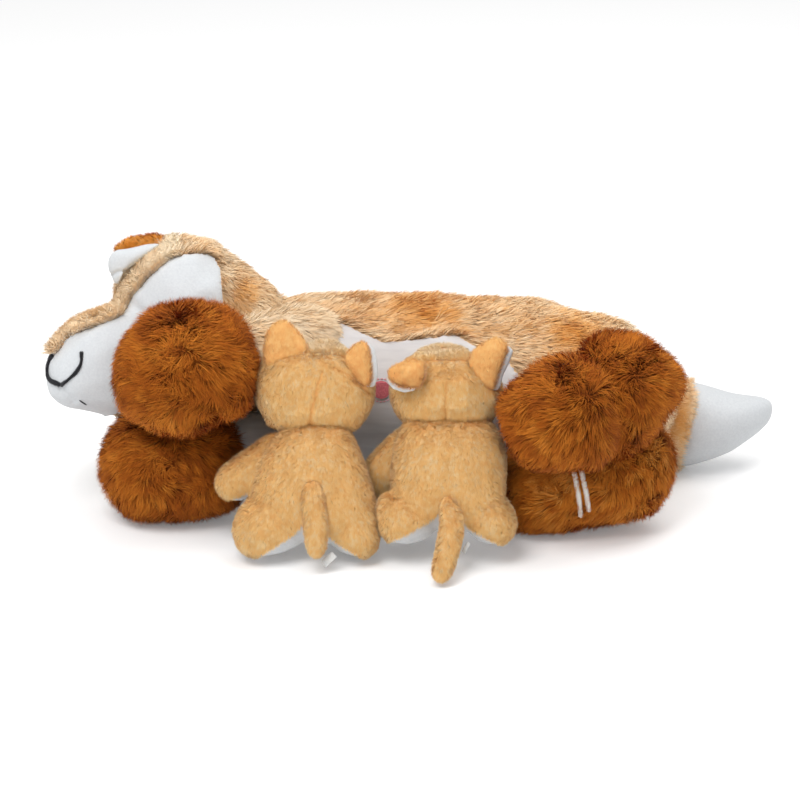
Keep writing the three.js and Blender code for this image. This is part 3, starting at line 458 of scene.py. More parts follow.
def shared_out(surface, nodes):
    """For each triangle which of the CAD nodes it lies nearest to."""
    trees = [BVHTree.FromPolygons(*(a.tolist() for a in node(n))) for n in nodes]
    away = np.array([[tree.find_nearest(c)[3] for tree in trees] for c in surface.centres()])
    return away.argmin(1)


def mesh_object(name, body, material, points, triangles, normals=None, uv=None):
    """A smooth mesh of one material that rides on a body."""
    mesh = bpy.data.meshes.new(name)
    mesh.vertices.add(len(points))
    mesh.vertices.foreach_set("co", np.asarray(points, np.float32).ravel())
    mesh.loops.add(len(triangles) * 3)
    mesh.loops.foreach_set("vertex_index", np.asarray(triangles, np.int32).ravel())
    mesh.polygons.add(len(triangles))
    mesh.polygons.foreach_set("loop_start", np.arange(0, len(triangles) * 3, 3, dtype=np.int32))
    mesh.update(calc_edges=True)
    mesh.validate()
    mesh.polygons.foreach_set("use_smooth", np.full(len(mesh.polygons), True))
    if uv is not None:
        layer = mesh.uv_layers.new(name="OFBake")
        layer.data.foreach_set("uv", np.asarray(uv, np.float32)[np.asarray(triangles).ravel()].ravel())
    if normals is not None:
        mesh.normals_split_custom_set_from_vertices(np.asarray(normals, np.float32))
    mesh.materials.append(materials[material])
    obj = placed(name, mesh)
    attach(obj, body)
    return obj


# Materials


def linear(r, g, b):
    def one(value):
        value /= 255
        return value / 12.92 if value <= 0.04045 else ((value + 0.055) / 1.055) ** 2.4

    return one(r), one(g), one(b), 1


def new_material(name, roughness, sheen=0.0):
    material = bpy.data.materials.new(name)
    material.use_nodes = True
    shader = material.node_tree.nodes["Principled BSDF"]
    shader.inputs["Roughness"].default_value = roughness
    shader.inputs["Specular IOR Level"].default_value = 0.2
    shader.inputs["Sheen Weight"].default_value = sheen
    shader.inputs["Sheen Roughness"].default_value = 0.5
    return material, material.node_tree, shader


def ramp(tree, stops):
    made = tree.nodes.new("ShaderNodeValToRGB")
    elements = made.color_ramp.elements
    while len(elements) < len(stops):
        elements.new(0.5)
    for element, (place, colour) in zip(elements, stops):
        element.position = place
        element.color = linear(*colour)
    return made


def pile_material(name, stops, root, sheen=0.15):
    """Pile whose colour runs with u, the pelt's tone, and darkens to the root along v: painted shade for the
    shadow that strands cast on each other.
    """
    material, tree, shader = new_material(name, 0.8, sheen)
    new, link = tree.nodes.new, tree.links.new
    uv = new("ShaderNodeUVMap")
    uv.uv_map = "OFBake"
    split = new("ShaderNodeSeparateXYZ")
    link(uv.outputs[0], split.inputs[0])
    tones = ramp(tree, stops)
    link(split.outputs[0], tones.inputs[0])
    # Painted shade: along v the colour falls to the root's share of it, standing in for the shadow between
    # strands
    shade = new("ShaderNodeMapRange")
    shade.inputs["To Min"].default_value = root
    shade.inputs["To Max"].default_value = 1
    shade.inputs["From Max"].default_value = 0.8
    link(split.outputs[1], shade.inputs[0])
    mix = new("ShaderNodeMix")
    mix.data_type = "RGBA"
    mix.blend_type = "MULTIPLY"
    mix.inputs[0].default_value = 1
    link(tones.outputs[0], mix.inputs[6])
    link(shade.outputs[0], mix.inputs[7])
    link(mix.outputs[2], shader.inputs["Base Color"])
    return material


def cloth_material(name, light, dark, scale=400, bump=0.3, sheen=0.3, stretch=(1, 1, 1), depth=0.5):
    """A cloth with a fine grain, mottled between two tones, its relief a depth in millimetres."""
    material, tree, shader = new_material(name, 0.9, sheen)
    new, link = tree.nodes.new, tree.links.new
    place = new("ShaderNodeTexCoord")
    turned = new("ShaderNodeMapping")
    turned.inputs["Scale"].default_value = stretch
    grain = new("ShaderNodeTexNoise")
    grain.inputs["Scale"].default_value = scale
    grain.inputs["Detail"].default_value = 4
    link(place.outputs["Object"], turned.inputs["Vector"])
    link(turned.outputs[0], grain.inputs["Vector"])
    tones = ramp(tree, [(0.3, dark), (0.7, light)])
    link(grain.outputs["Fac"], tones.inputs[0])
    link(tones.outputs[0], shader.inputs["Base Color"])
    relief = new("ShaderNodeBump")
    relief.inputs["Strength"].default_value = bump
    relief.inputs["Distance"].default_value = depth * MM
    link(grain.outputs["Fac"], relief.inputs["Height"])
    link(relief.outputs[0], shader.inputs["Normal"])
    return material


TAN = [(0, (255, 236, 206)), (0.35, (252, 218, 172)), (0.65, (242, 184, 112)), (1, (220, 140, 50))]
WARM_TAN = [(0, (255, 206, 150)), (0.5, (255, 222, 176)), (1, (255, 240, 212))]
BROWN = [(0, (120, 52, 4)), (0.4, (180, 94, 16)), (0.7, (218, 132, 40)), (1, (250, 184, 100))]
APRICOT = [(0, (244, 180, 104)), (0.5, (255, 210, 136)), (0.8, (255, 226, 174)), (1, (252, 232, 200))]
# root is the share of the colour left at a strand's root, a painted shade for the shadow between strands
PILES = {
    "tan_pile": dict(stops=TAN, root=0.84),
    "forehead_pile": dict(stops=WARM_TAN, root=1.0, sheen=0.4),
    "brown_pile": dict(stops=BROWN, root=0.5, sheen=0.03),
    "apricot_pile": dict(stops=APRICOT, root=1.0, sheen=0.3),
}
CLOTHS = {
    "tan_cloth": dict(light=(244, 212, 166), dark=(226, 184, 130)),
    # The brown cloth is darker than its pile, a painted shade where it shows between the strands
    "brown_cloth": dict(light=(150, 74, 14), dark=(116, 52, 6), sheen=0.03),
    "apricot_cloth": dict(light=(252, 200, 128), dark=(240, 178, 106)),
    "white_plush": dict(light=(207, 210, 212), dark=(198, 201, 204), scale=700),
    "white_belly": dict(light=(212, 209, 208), dark=(192, 188, 188), scale=60, bump=0.5,
                        stretch=(0.35, 1, 2.2), depth=1.5),
    "pink_felt": dict(light=(206, 112, 118), dark=(176, 84, 92), scale=900),
    "pink_thread": dict(light=(226, 160, 168), dark=(206, 130, 140), scale=2500),
    "black_thread": dict(light=(44, 44, 48), dark=(20, 20, 24), scale=2500),
    "tab_ribbon": dict(light=(226, 226, 224), dark=(204, 204, 202), scale=1500),
    "white_yarn": dict(light=(246, 244, 240), dark=(222, 220, 214), scale=1800),
}
materials = {name: pile_material(name, **look) for name, look in PILES.items()}
materials |= {name: cloth_material(name, **look) for name, look in CLOTHS.items()}
materials["steel"] = new_material("steel", 0.3)[0]


# Pile

# How far a blade's upper half bends with the comb, and the cloth's share in its normal
BEND = 0.5
CLOTH_NORMAL_SHARE = 0.84
# No pile grows this close to a seam, and up to about the second length it is shorter and darker, the
# darkening a painted shade in the seam's groove
SEAM_GAP = 0.6
SEAM_FADE = 1.3
SEAM_SHORTER = 0.35
SEAM_PAINTED_SHADE = 0.4
# More than any seam's reach, for pile on the side that the camera doesn't see
OUT_OF_REACH = 99
# The waves that ruffle pile: their strength, their width in tufts and their seed
RUFFLES = ((1, 2.2, 1), (0.5, 0.8, 5))
# How much the lean varies in waves and from blade to blade, and the most that a blade leans
LEAN_WAVES = 0.2
LEAN_SPREAD = 0.1
MOST_LEAN = 1.5
# A blade's least length and width as shares of the coat's, and how much more they may be
LENGTHS = (0.72, 0.5)
WIDTHS = (0.7, 0.6)
# How far blades turn about their own axes, in radians
TWIST = 0.7
# How much the tone varies in waves and from blade to blade
TONE_WAVES = 0.08
TONE_SPREAD = 0.07


def scattered(surface, random, count):
    """Random places spread evenly over a surface, and the way out of it at each."""
    picked = np.searchsorted(np.cumsum(surface.areas), random.random(count) * surface.areas.sum())
    corners = surface.triangles[np.minimum(picked, len(surface.triangles) - 1)]
    a, b = random.random((2, count))
    flip = a + b > 1
    a[flip], b[flip] = 1 - a[flip], 1 - b[flip]
    share = np.stack([1 - a - b, a, b], 1)[:, :, None]
    return (surface.points[corners] * share).sum(1), unit((surface.normals[corners] * share).sum(1))


def blade(roots, half, reach, rise, flow, inward, segments):
    """Each blade's points, what they add to u and have as v, and the triangles that one blade has."""
    if segments == 1:
        points = [roots - half, roots + half, roots + reach * rise + inward]
        return points, [(0, 0.02), (0.02, 0.02), (0.01, 0.98)], [[0, 1, 2]]
    middle = roots + reach * 0.5 * rise + 0.4 * inward
    tip = middle + reach * 0.5 * unit(rise + BEND * flow) + 0.6 * inward
    points = [roots - 0.8 * half, roots + 0.8 * half, middle - half, middle + half, tip]
    columns = [(0, 0.02), (0.02, 0.02), (0, 0.5), (0.02, 0.5), (0.01, 0.98)]
    return points, columns, [[0, 1, 3], [0, 3, 2], [2, 3, 4]]


def pile(name, body, surface, comb, tone, seed, *, density, length, width, lean, material="tan_pile",
         tuft=6.0, pull=0.45, ruffle=0.5, spread=0.2, mottle=0.1, segments=2, limit=66000,
         seams=(), gone=None):
    """Strands of pile on a surface, each a thin tapering blade that leans the way it was combed."""
    random = np.random.default_rng(SEED * 1000 + seed)
    count = min(int(density * surface.areas.sum() / MM**2), limit)
    roots, out = scattered(surface, random, count)
    keep = np.ones(count, bool) if gone is None else ~gone(roots)
    near_seam = np.zeros(count)
    for line in seams:
        away = nearest_on(photo_places(roots), line)[1] + OUT_OF_REACH * ~faces_camera(out)
        keep &= away > SEAM_GAP
        near_seam = np.maximum(near_seam, np.exp(-((away / SEAM_FADE) ** 2)))
    roots, out, near_seam = roots[keep], out[keep], near_seam[keep]
    n = len(roots)

    # The way that the pelt is combed, ruffled in waves of about a tuft
    size = tuft * MM
    flow = comb(roots)
    for share, wide, own_seed in RUFFLES:
        flow = flow + share * ruffle * noise_vectors(roots / (wide * size), seed * 10 + own_seed)
    flow += spread * random.normal(size=(n, 3))
    flow -= out * (flow * out).sum(1, keepdims=True)
    strength = np.clip(0.35 + 0.75 * np.linalg.norm(flow, axis=1), 0.55, 1)
    flow = unit(flow)
    angle = lean * strength * (1 + LEAN_WAVES * lattice_noise(roots / (1.5 * size), seed * 10 + 8))
    angle = np.clip(angle + LEAN_SPREAD * random.normal(size=n), 0, MOST_LEAN)[:, None]
    rise = out * np.cos(angle) + flow * np.sin(angle)

    # Each blade's length, its width turned about its own axis, and its normal
    lengths = length * MM * (LENGTHS[0] + LENGTHS[1] * random.random(n))
    reach = (lengths * (1 - SEAM_SHORTER * near_seam))[:, None]
    side = unit(np.cross(rise, out) + 1e-6)
    twist = (TWIST * random.normal(size=n))[:, None]
    side = side * np.cos(twist) + np.cross(rise, side) * np.sin(twist)
    half = side * (width * MM / 2 * (WIDTHS[0] + WIDTHS[1] * random.random(n)))[:, None]
    own = unit(np.cross(side, rise))
    own *= np.sign((own * out).sum(1, keepdims=True) + 1e-9)
    facing = unit(CLOTH_NORMAL_SHARE * out + (1 - CLOTH_NORMAL_SHARE) * own)

    # Blades draw together in tufts, each of which has a tone of its own
    middle_of_tuft, of_tuft = tufts(roots, size, seed * 10 + 3)
    inward = middle_of_tuft - roots
    inward = pull * (inward - out * (inward * out).sum(1, keepdims=True))
    tones = tone(roots) + mottle * of_tuft
    tones = tones + TONE_WAVES * lattice_noise(roots / (2.5 * size), seed * 10 + 9)
    # Blades near a seam take a painted shade
    tones = np.clip(tones + TONE_SPREAD * random.normal(size=n) - SEAM_PAINTED_SHADE * near_seam, 0.02, 0.96)

    points, columns, faces = blade(roots, half, reach, rise, flow, inward, segments)
    each = len(points)
    points = np.stack(points, 1).reshape(-1, 3)
    points[:, 2] = np.maximum(points[:, 2], (0.1 + 0.3 * random.random(len(points))) * MM)
    triangles = (np.arange(n)[:, None, None] * each + np.array(faces)).reshape(-1, 3)
    uv = np.stack([np.stack([tones + du, np.full(n, v)], 1) for du, v in columns], 1).reshape(-1, 2)
    mesh_object(name, body, material, points, triangles, np.repeat(facing, each, 0), uv)


def skin(name, body, surface, material, *nodes, slot=None, padded=True):
    """The cloth itself, under its pile."""
    obj = mesh_object(name, body, material, surface.points, surface.triangles, surface.normals)
    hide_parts(*nodes)


def steady(x, y, z):
    return lambda points: np.broadcast_to(np.array([x, y, z], float), points.shape)


# Within this many pixels of the place that pile is combed away from, it lies down less and less
PARTING = 80


def from_place(u, v, down=0.0):
    """Combed away from a place of the photograph, and somewhat down."""
    def comb(points):
        off = photo_places(points) - (u, v)
        off = off / np.maximum(np.hypot(*off.T), PARTING)[:, None]
        return off[:, :1] * RIGHT - off[:, 1:] * UP + np.array([0, 0, -down])

    return comb


def inside_of(*surfaces, depth=2.0, search=0.08):
    """A test for points that lie deeper than depth inside any surface found within the search."""
    trees = [s.tree() for s in surfaces]

    def test(points):
        result = np.zeros(len(points), bool)
        for k, point in enumerate(points):
            p = Vector(point)
            for tree in trees:
                place, normal, _, away = tree.find_nearest(p, search)
                if place is not None and away > depth * MM and (p - place).dot(normal) < 0:
                    result[k] = True
                    break
        return result

    return test


# How much a coat's tone varies, in waves of this many millimetres
TONE_VARIES = 0.06
TONE_WAVE = 22
TONE_SEED = 77


def patch(value, *spots):
    """A tone with stronger spots, each a column, a row, its half width and height, and how strong."""
    def tone(points):
        places = photo_places(points)
        total = np.full(len(points), float(value))
        for u, v, wide, high, strength in spots:
            total += strength * np.exp(-(((places - (u, v)) / (wide, high)) ** 2).sum(1))
        return total + TONE_VARIES * lattice_noise(points / (TONE_WAVE * MM), TONE_SEED)

    return tone


joint = {j["name"]: j for j in frame["joints"]}


def plug(name, radius, behind=0.0):
    """A ball at a joint, so that the sewn root stays closed as the joint turns."""
    return ball(np.array(joint[name]["pos_m"]) + (0, behind * MM, 0), radius)


# Thread

# A ply's distance from the middle of a twisted thread and its radius, as shares of the thread's radius
PLY_OFFSET = 0.5
PLY_RADIUS = 0.56
# How thick a thread is at its ends
END_SHARE = 0.35


def strand(path, radius, turns=0.0, plies=1, sides=6):
    """A round thread along points of the row frame, of several plies where it is twisted."""
    path = np.array(path)
    points, triangles = [], []
    ahead = unit(np.gradient(path, axis=0))
    start = unit(np.cross(ahead, np.broadcast_to(AHEAD, ahead.shape)) + 1e-9)
    other = np.cross(ahead, start)
    for ply in range(plies):
        phase = 2 * np.pi * (ply / plies + turns * np.linspace(0, 1, len(path)))
        off = 0.0 if plies == 1 else radius * PLY_OFFSET
        own = radius if plies == 1 else radius * PLY_RADIUS
        middle = path + off * (np.cos(phase)[:, None] * start + np.sin(phase)[:, None] * other)
        first = sum(len(p) for p in points)
        angles = np.arange(sides) / sides * 2 * np.pi
        across, up = np.cos(angles)[None, :, None], np.sin(angles)[None, :, None]
        ring = across * start[:, None] + up * other[:, None]
        thin = np.ones(len(path))
        thin[[0, -1]] = END_SHARE
        points.append((middle[:, None] + own * thin[:, None, None] * ring).reshape(-1, 3))
        for k in range(len(path) - 1):
            for j in range(sides):
                a, b = first + k * sides + j, first + k * sides + (j + 1) % sides
                triangles += [(a, b, a + sides), (b, b + sides, a + sides)]
        for base in (first, first + (len(path) - 1) * sides):
            fan = [(base, base + j + 1, base + j) for j in range(1, sides - 1)]
            triangles += fan if base == first else [(a, c, b) for a, b, c in fan]
    return np.concatenate(points), np.array(triangles)


def folded_ribbon(seam, fold, depth, thick=0.35, gap=0.9):
    """A woven ribbon folded back on itself, its sewn edge and its fold two places of the photograph each."""
    turns = np.linspace(-np.pi / 2, np.pi / 2, 7)
    reach = np.concatenate([[0, 0.5], 0.93 + 0.07 * np.cos(turns), [0.5, 0]])
    level = np.concatenate([[-1, -1], np.sin(turns), [1, 1]])
    rows = []
    for side in (gap / 2 + thick / 2, gap / 2 - thick / 2):
        for s, f in zip(seam, fold):
            places = np.array(s) + reach[:, None] * np.subtract(f, s)
            rows.append(photo_points(places, depth + side * level))
    # The two outer edges come first, then the two inner ones
    points = np.concatenate(rows)
    n = len(reach)
    triangles = []

    def join(a, b):
        for k in range(n - 1):
            triangles.extend([(a + k, a + k + 1, b + k), (a + k + 1, b + k + 1, b + k)])

    join(0, n)
    join(n, 3 * n)
    join(3 * n, 2 * n)
    join(2 * n, 0)
    for end in (0, n - 1):
        quad = (end, n + end, 3 * n + end, 2 * n + end)
        quad = quad if end == 0 else quad[::-1]
        triangles.extend([quad[:3], (quad[0], quad[2], quad[3])])
    return points, np.array(triangles)


def cast(tree, places, lift, depth=0.0):
    """Points on a surface behind these places of the photograph, or the nearest ones, lifted off it."""
    found = []
    for direction, guess in zip(photo_points(places, 0), photo_points(places, depth)):
        way = (Vector(direction) - eye).normalized()
        place, normal, _, _ = tree.ray_cast(eye, way)
        if place is None:
            place, normal, _, _ = tree.find_nearest(Vector(guess))
        found.append(place + normal * lift * MM)
    return np.array(found)


def along(line, step=0.8):
    """Places along a line of the photograph, a step in millimetres apart, its corners eased."""
    places = spaced(line, step=step)
    for _ in range(3):
        places[1:-1] = places[1:-1] / 2 + (places[2:] + places[:-2]) / 4
    return places


def thread(name, body, arrays, material, *nodes):
    obj = mesh_object(name, body, material, *arrays)
    if nodes:
        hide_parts(*nodes)


# The large fox

# How far the cloth lies under the surface of long pile, of the head's and the tail's and of short plush
LONG = 4.6
HEAD_PILE = 4.2
TAIL_PILE = 3.6
SHORT = 2.1

BELLY = [(300, 352), (314, 333), (322, 327), (332, 319), (345, 323), (361, 331), (383, 341), (420, 337),
         (456, 333), (470, 342), (492, 353), (508, 362), (520, 378), (536, 400), (556, 440), (556, 500),
         (215, 500), (215, 415), (252, 404), (280, 372)]
HEAD = [(51, 346), (50, 357), (45, 372), (48, 382), (49, 394), (57, 403), (80, 409), (117, 418), (160, 415),
        (200, 408), (240, 392), (272, 352), (285, 318), (276, 288), (249, 267), (229, 252), (212, 238),
        (182, 233), (162, 237), (140, 250), (128, 265), (117, 281), (112, 302), (104, 307), (80, 314),
        (62, 327), (53, 338)]
CHEEK = [(40, 353), (56, 353), (66, 337), (87, 327), (115, 317), (122.5, 314), (128.5, 297), (147, 277),
         (169, 257), (189, 252), (214, 254), (221, 267), (224, 300), (226, 340), (210, 380), (170, 412),
         (117, 414), (98, 418), (80, 418), (50, 414), (36, 396)]
FOREHEAD_PATCH = [(20, 300), (20, 356), (57, 356), (68, 337), (88, 327), (115, 317), (123, 314), (129, 297),
                  (147, 277), (169, 257), (183, 253), (176, 236), (150, 226), (110, 250), (90, 290),
                  (60, 300)]
UPPER_PAW = [(115, 369), (119, 349), (127, 334), (149, 311), (168, 305), (189, 303), (205, 303), (219, 306),
             (233, 313), (244, 324), (254, 349), (257, 367), (255, 384), (249, 409), (237, 414), (219, 421),
             (205, 429), (189, 434), (169, 434), (149, 426), (133, 418), (121, 409), (116, 390)]
LOWER_PAW = [(102, 456), (105, 442), (112, 429), (125, 415), (150, 406), (185, 404), (215, 412), (236, 430),
             (246, 455), (248, 480), (238, 503), (220, 512), (204, 516), (169, 520), (145, 519), (129, 516),
             (116, 505), (107, 492), (102, 474)]
HIND_PAW = [(499, 408), (501, 398), (508, 390), (520, 377), (537, 365), (555, 357), (575, 354), (598, 360),
            (614, 378), (622, 405), (618, 440), (603, 466), (590, 468), (575, 468), (558, 470), (541, 470),
            (528, 466), (519, 458), (511, 448), (504, 430)]
THIGH = [(572, 372), (575, 352), (591, 337), (606, 333), (622, 332), (638, 335), (655, 345), (668, 355),
         (678, 365), (684, 377), (682, 390), (676, 401), (664, 418), (656, 432), (642, 447), (630, 456),
         (603, 463), (575, 445), (562, 405)]
LOWER_HIND = [(506, 493), (503, 470), (512, 448), (540, 432), (590, 420), (640, 417), (660, 424),
              (674, 444), (676, 466), (671, 486), (662, 505), (651, 513), (638, 519), (599, 525),
              (559, 533), (538, 534), (519, 532), (509, 520)]
TAIL_ROOT = [(640, 400), (662, 385), (680, 378), (694, 380), (699, 400), (696, 420), (688, 440), (682, 460),
             (676, 470), (660, 472), (645, 450)]
TAIL_TIP = [(672, 390), (684, 381), (700, 383), (733, 393), (765, 397), (773, 401), (774, 408), (770, 422),
            (757, 434), (731, 452), (713, 459), (697, 464), (684, 467), (674, 466), (666, 430)]
EAR_INSIDE = [(161, 243), (146, 244), (130, 248), (115, 250), (109, 256), (107, 265), (110, 275),
              (115, 285), (119, 285), (122, 274), (132, 266), (146, 257), (156, 250)]
EAR_BACK = [(114, 253), (118, 247), (129, 240), (145, 237), (157, 235), (165, 239), (168, 252), (150, 256),
            (128, 256)]
THIGH_CREASE = [[(562, 350), (572, 354), (584, 361), (595, 368), (602, 376)]]
TAIL_JOIN = [(600, 340), (686, 375), (692, 393), (692, 406), (687, 424), (683, 440), (679, 456), (676, 470),
             (600, 490)]
EAR_FOLD = [(107, 278), (112, 275), (118, 272), (124, 271)]
PHILTRUM = [(61, 387), (66, 394), (74, 402)]
HEAD_MIDDLE = np.array([165.0, 320.0])

NOSE = {
    "left": [(54, 355), (49.5, 361), (47.6, 369), (48.4, 376), (51.5, 381), (56, 382.5), (61, 385)],
    "right": [(60.5, 385), (66, 381.5), (71, 377.5), (76, 372.5), (80, 366.5), (82, 360), (81.6, 351.5)],
}
NOSE_RADIUS = {"left": 2.1, "right": 1.6}
MOUTH = [(79.4, 400), (83, 402.6), (86.7, 404.8)]
TOE_YARNS = {
    "toe_yarn_1": [(573, 463), (576, 480), (578, 496), (579.5, 511)],
    "toe_yarn_2": [(579.5, 462), (582.5, 477), (585.5, 492), (587.5, 506)],
}

# Radius of the ball that keeps each sewn root closed
ROOT_BALLS = {"head_lift": 29, "front_upper_lift": 20, "front_lower_swing": 20, "hind_upper_lift": 19,
              "hind_lower_swing": 19, "tail_swing": 17}
# The torso's filling is lumpy, in waves this high and wide
WAVE_HEIGHT = 1.4
WAVE_WIDTH = 26

# Coats: strands on a square millimetre, their length and width in millimetres and their lean in radians
BACK_COAT = dict(density=3.4, length=10, width=0.42, lean=1.12, tuft=5.5, pull=0.26, ruffle=0.6)
ARM_COAT = dict(BACK_COAT, density=3.2, length=9.5, ruffle=0.5)
INNER_ARM_COAT = dict(density=1.9, length=6, width=0.5, lean=1.1, tuft=7)
CROWN_COAT = dict(density=3.6, length=8.5, width=0.4, lean=1.05, tuft=5, pull=0.3, ruffle=0.6)
FOREHEAD_COAT = dict(density=6, length=7.5, width=0.38, lean=1.0, material="forehead_pile", tuft=4,
                     pull=0.3, ruffle=0.7, spread=0.3)
PAW_COAT = dict(density=2.6, length=10.5, width=0.42, lean=0.8, material="brown_pile", pull=0.4, ruffle=1.2,
                mottle=0.16)
THIGH_COAT = dict(PAW_COAT, lean=0.85)
HIND_COAT = dict(PAW_COAT, length=10, lean=0.95)
TAIL_COAT = dict(density=6, length=7.5, width=0.34, lean=1.15, tuft=3, pull=0.1, ruffle=0.35, spread=0.35)
EAR_COAT = dict(density=7, length=4.5, width=0.36, lean=0.8, material="brown_pile", tuft=3)
FAR_EAR_COAT = dict(density=6, length=5, width=0.4, lean=0.9, material="brown_pile", tuft=4)
KIT_COAT = dict(density=10, length=3.1, width=0.3, lean=1.0, material="apricot_pile", tuft=1.8, pull=0.24,
                ruffle=0.45, spread=0.3, mottle=0.17, segments=1, limit=190000)
KIT_EAR_COAT = dict(KIT_COAT, density=12, length=2.9)
PAW_TONE = patch(0.42)

torso = gathered(
    [node(n) for n in ("torso_back_skin", "belly_panel", "torso_filling")]
    + [plug(name, radius) for name, radius in ROOT_BALLS.items()]
    + limb((-128, 70, 88, 38), (-92, 74, 78, 46)),
    voxel=2.4, rounds=30, swell=0.0,
)
snapped(torso, BELLY)
is_belly = inside_outline(photo_places(torso.centres()), BELLY) & faces_camera(torso.faces_out, 0.05)
furred = 1 - torso.share_of(is_belly, 5)
waves = WAVE_HEIGHT * MM * lattice_noise(torso.points / (WAVE_WIDTH * MM), 31)
torso.moved(furred * -LONG * MM + waves * furred)
torso_back, belly = torso.part(~is_belly), torso.part(is_belly)

head_nodes = [node(n) for n in ("head_skin", "face_panel", "head_filling")]
head = gathered(head_nodes, voxel=2, rounds=20, swell=0.6)
warped(head, HEAD, HEAD_MIDDLE)
snapped(head, CHEEK)
head_places = photo_places(head.centres())
is_face = np.where(
    faces_camera(head.faces_out, 0.02),
    inside_outline(head_places, CHEEK),
    shared_out(head, ["head_skin", "face_panel"]) == 1,
)
head.moved((1 - head.share_of(is_face, 12)) * -HEAD_PILE * MM)
dented(head, [PHILTRUM], depth=2, width=2)
is_forehead = ~is_face & inside_outline(head_places, FOREHEAD_PATCH)
face, forehead, crown = head.part(is_face), head.part(is_forehead), head.part(~is_face & ~is_forehead)

upper_paw = gathered([pillow(UPPER_PAW, depth=-70, front=42, back=36)], voxel=2.4, rounds=6, swell=-LONG)
lower_paw = gathered([pillow(LOWER_PAW, depth=-21, front=40, back=36)], voxel=2.4, rounds=6, swell=-LONG)
upper_arm = gathered(
    limb((-118, -16, 108, 23), (-92, 8, 108, 28), (-67, 36, 105, 27)), voxel=2.4, rounds=10, swell=-LONG
)
lower_arm = gathered(
    limb((-128, 2, 40, 25), (-105, 12, 42, 24), (-81.5, 24, 40, 21)), voxel=2.4, rounds=10, swell=-0.5
)
arm_shows = faces_camera(lower_arm.faces_out, 0.0)
arm_inner, arm_outer = lower_arm.part(arm_shows), lower_arm.part(~arm_shows)
upper_leg = gathered(
    [pillow(HIND_PAW, depth=-92, front=36, back=36), pillow(THIGH, depth=-66, front=38, back=36)]
    + limb((130, -40, 98, 28), (136, 8, 92, 24), (136, 38, 86, 20)),
    voxel=2.4, rounds=5, swell=-LONG,
)
dented(upper_leg, THIGH_CREASE, depth=3, width=4)
lower_leg = gathered(
    [pillow(LOWER_HIND, depth=-40, front=38, back=34)] + limb((120, -20, 32, 24), (124, 22, 36, 20)),
    voxel=2.4, rounds=6, swell=-LONG,
)
tail = gathered(
    [pillow(TAIL_ROOT, depth=60, front=26, back=24), pillow(TAIL_TIP, depth=64, front=25, back=24),
     plug("tail_swing", ROOT_BALLS["tail_swing"])],
    voxel=2, rounds=6, swell=0.0,
)
is_root = inside_outline(photo_places(tail.centres()), TAIL_JOIN)
snapped(tail, TAIL_JOIN)
tail.moved(tail.share_of(is_root, 4) * -TAIL_PILE * MM)
tail_root, tail_tip = tail.part(is_root), tail.part(~is_root)

skin("torso_back", "torso", torso_back, "tan_cloth", "torso_back_skin", "torso_filling")
skin("belly", "torso", belly, "white_belly", "belly_panel")
skin("crown", "head", crown, "tan_cloth", "head_skin", "head_filling")
skin("forehead", "head", forehead, "apricot_cloth", slot="tan_plush", padded=False)
skin("face", "head", face, "white_plush", "face_panel")
skin("front_upper_arm", "front_upper", upper_arm, "tan_cloth", "front_upper_sleeve", "front_upper_filling")
skin("front_upper_paw", "front_upper", upper_paw, "brown_cloth", "front_upper_paw_skin")
skin("front_lower_arm", "front_lower", arm_outer, "tan_cloth", "front_lower_sleeve", "front_lower_filling")
skin("front_lower_arm_inner", "front_lower", arm_inner, "white_belly", padded=False)
skin("front_lower_paw", "front_lower", lower_paw, "brown_cloth", "front_lower_paw_skin")
skin("hind_upper_leg", "hind_upper", upper_leg, "brown_cloth", "hind_upper_skin", "hind_upper_filling")
skin("hind_lower_leg", "hind_lower", lower_leg, "brown_cloth", "hind_lower_skin", "hind_lower_filling")
skin("tail_base", "tail", tail_root, "tan_cloth", "tail_root_skin", "tail_filling")
skin("tail_end", "tail", tail_tip, "white_plush", "tail_tip_skin")

# The back's golden spots, the third of them a painted shade in the crease below the head, and its pile in
# three pieces
GOLD_AND_NECK_SHADE = ((413, 312, 50, 18, 0.5), (565, 338, 30, 20, 0.5), (245, 290, 16, 14, 0.4), (500, 330, 30, 14, 0.15))
# The near side faces this way at least this much, and the rear begins at this length
NEAR_WAY = np.array([0, -1, 0.6])
NEAR_LEAST = -0.2
REAR_FROM = 0.01
torso_tone = patch(0.3, *GOLD_AND_NECK_SHADE)
limbs = inside_of(upper_paw, lower_paw, upper_leg, lower_leg, head)
is_near = torso_back.faces_out @ NEAR_WAY > NEAR_LEAST
is_front = torso_back.centres()[:, 0] < REAR_FROM
regions = {"near_front": is_near & is_front, "near_rear": is_near & ~is_front, "far": ~is_near}
for number, (region, keep) in enumerate(regions.items()):
    pile(f"torso_{region}_pile", "torso", torso_back.part(keep), steady(0.9, 0, -0.45), torso_tone,
         31 + number, gone=limbs, **BACK_COAT)

# The crown's spot at its lower right is a painted shade in the crease at the neck
pile("crown_pile", "head", crown, steady(0.8, -0.1, -0.4), patch(0.24, (240, 290, 16, 16, 0.5)), 3,
     **CROWN_COAT)
pile("forehead_pile", "head", forehead, steady(-0.1, -0.4, 0.3), patch(0.62, (170, 245, 18, 18, 0.3)), 4,
     **FOREHEAD_COAT)
pile("front_upper_paw_pile", "front_upper", upper_paw, from_place(206, 338, 0.2), PAW_TONE, 5, **PAW_COAT)
pile("front_upper_arm_pile", "front_upper", upper_arm, steady(0.8, 0, -0.5), patch(0.14), 6, **ARM_COAT)
pile("front_lower_paw_pile", "front_lower", lower_paw, from_place(178, 430, 0.3), PAW_TONE, 7, **PAW_COAT)
pile("front_lower_arm_pile", "front_lower", arm_outer, steady(-0.2, -0.9, -0.5), patch(0.3), 8,
     **INNER_ARM_COAT)
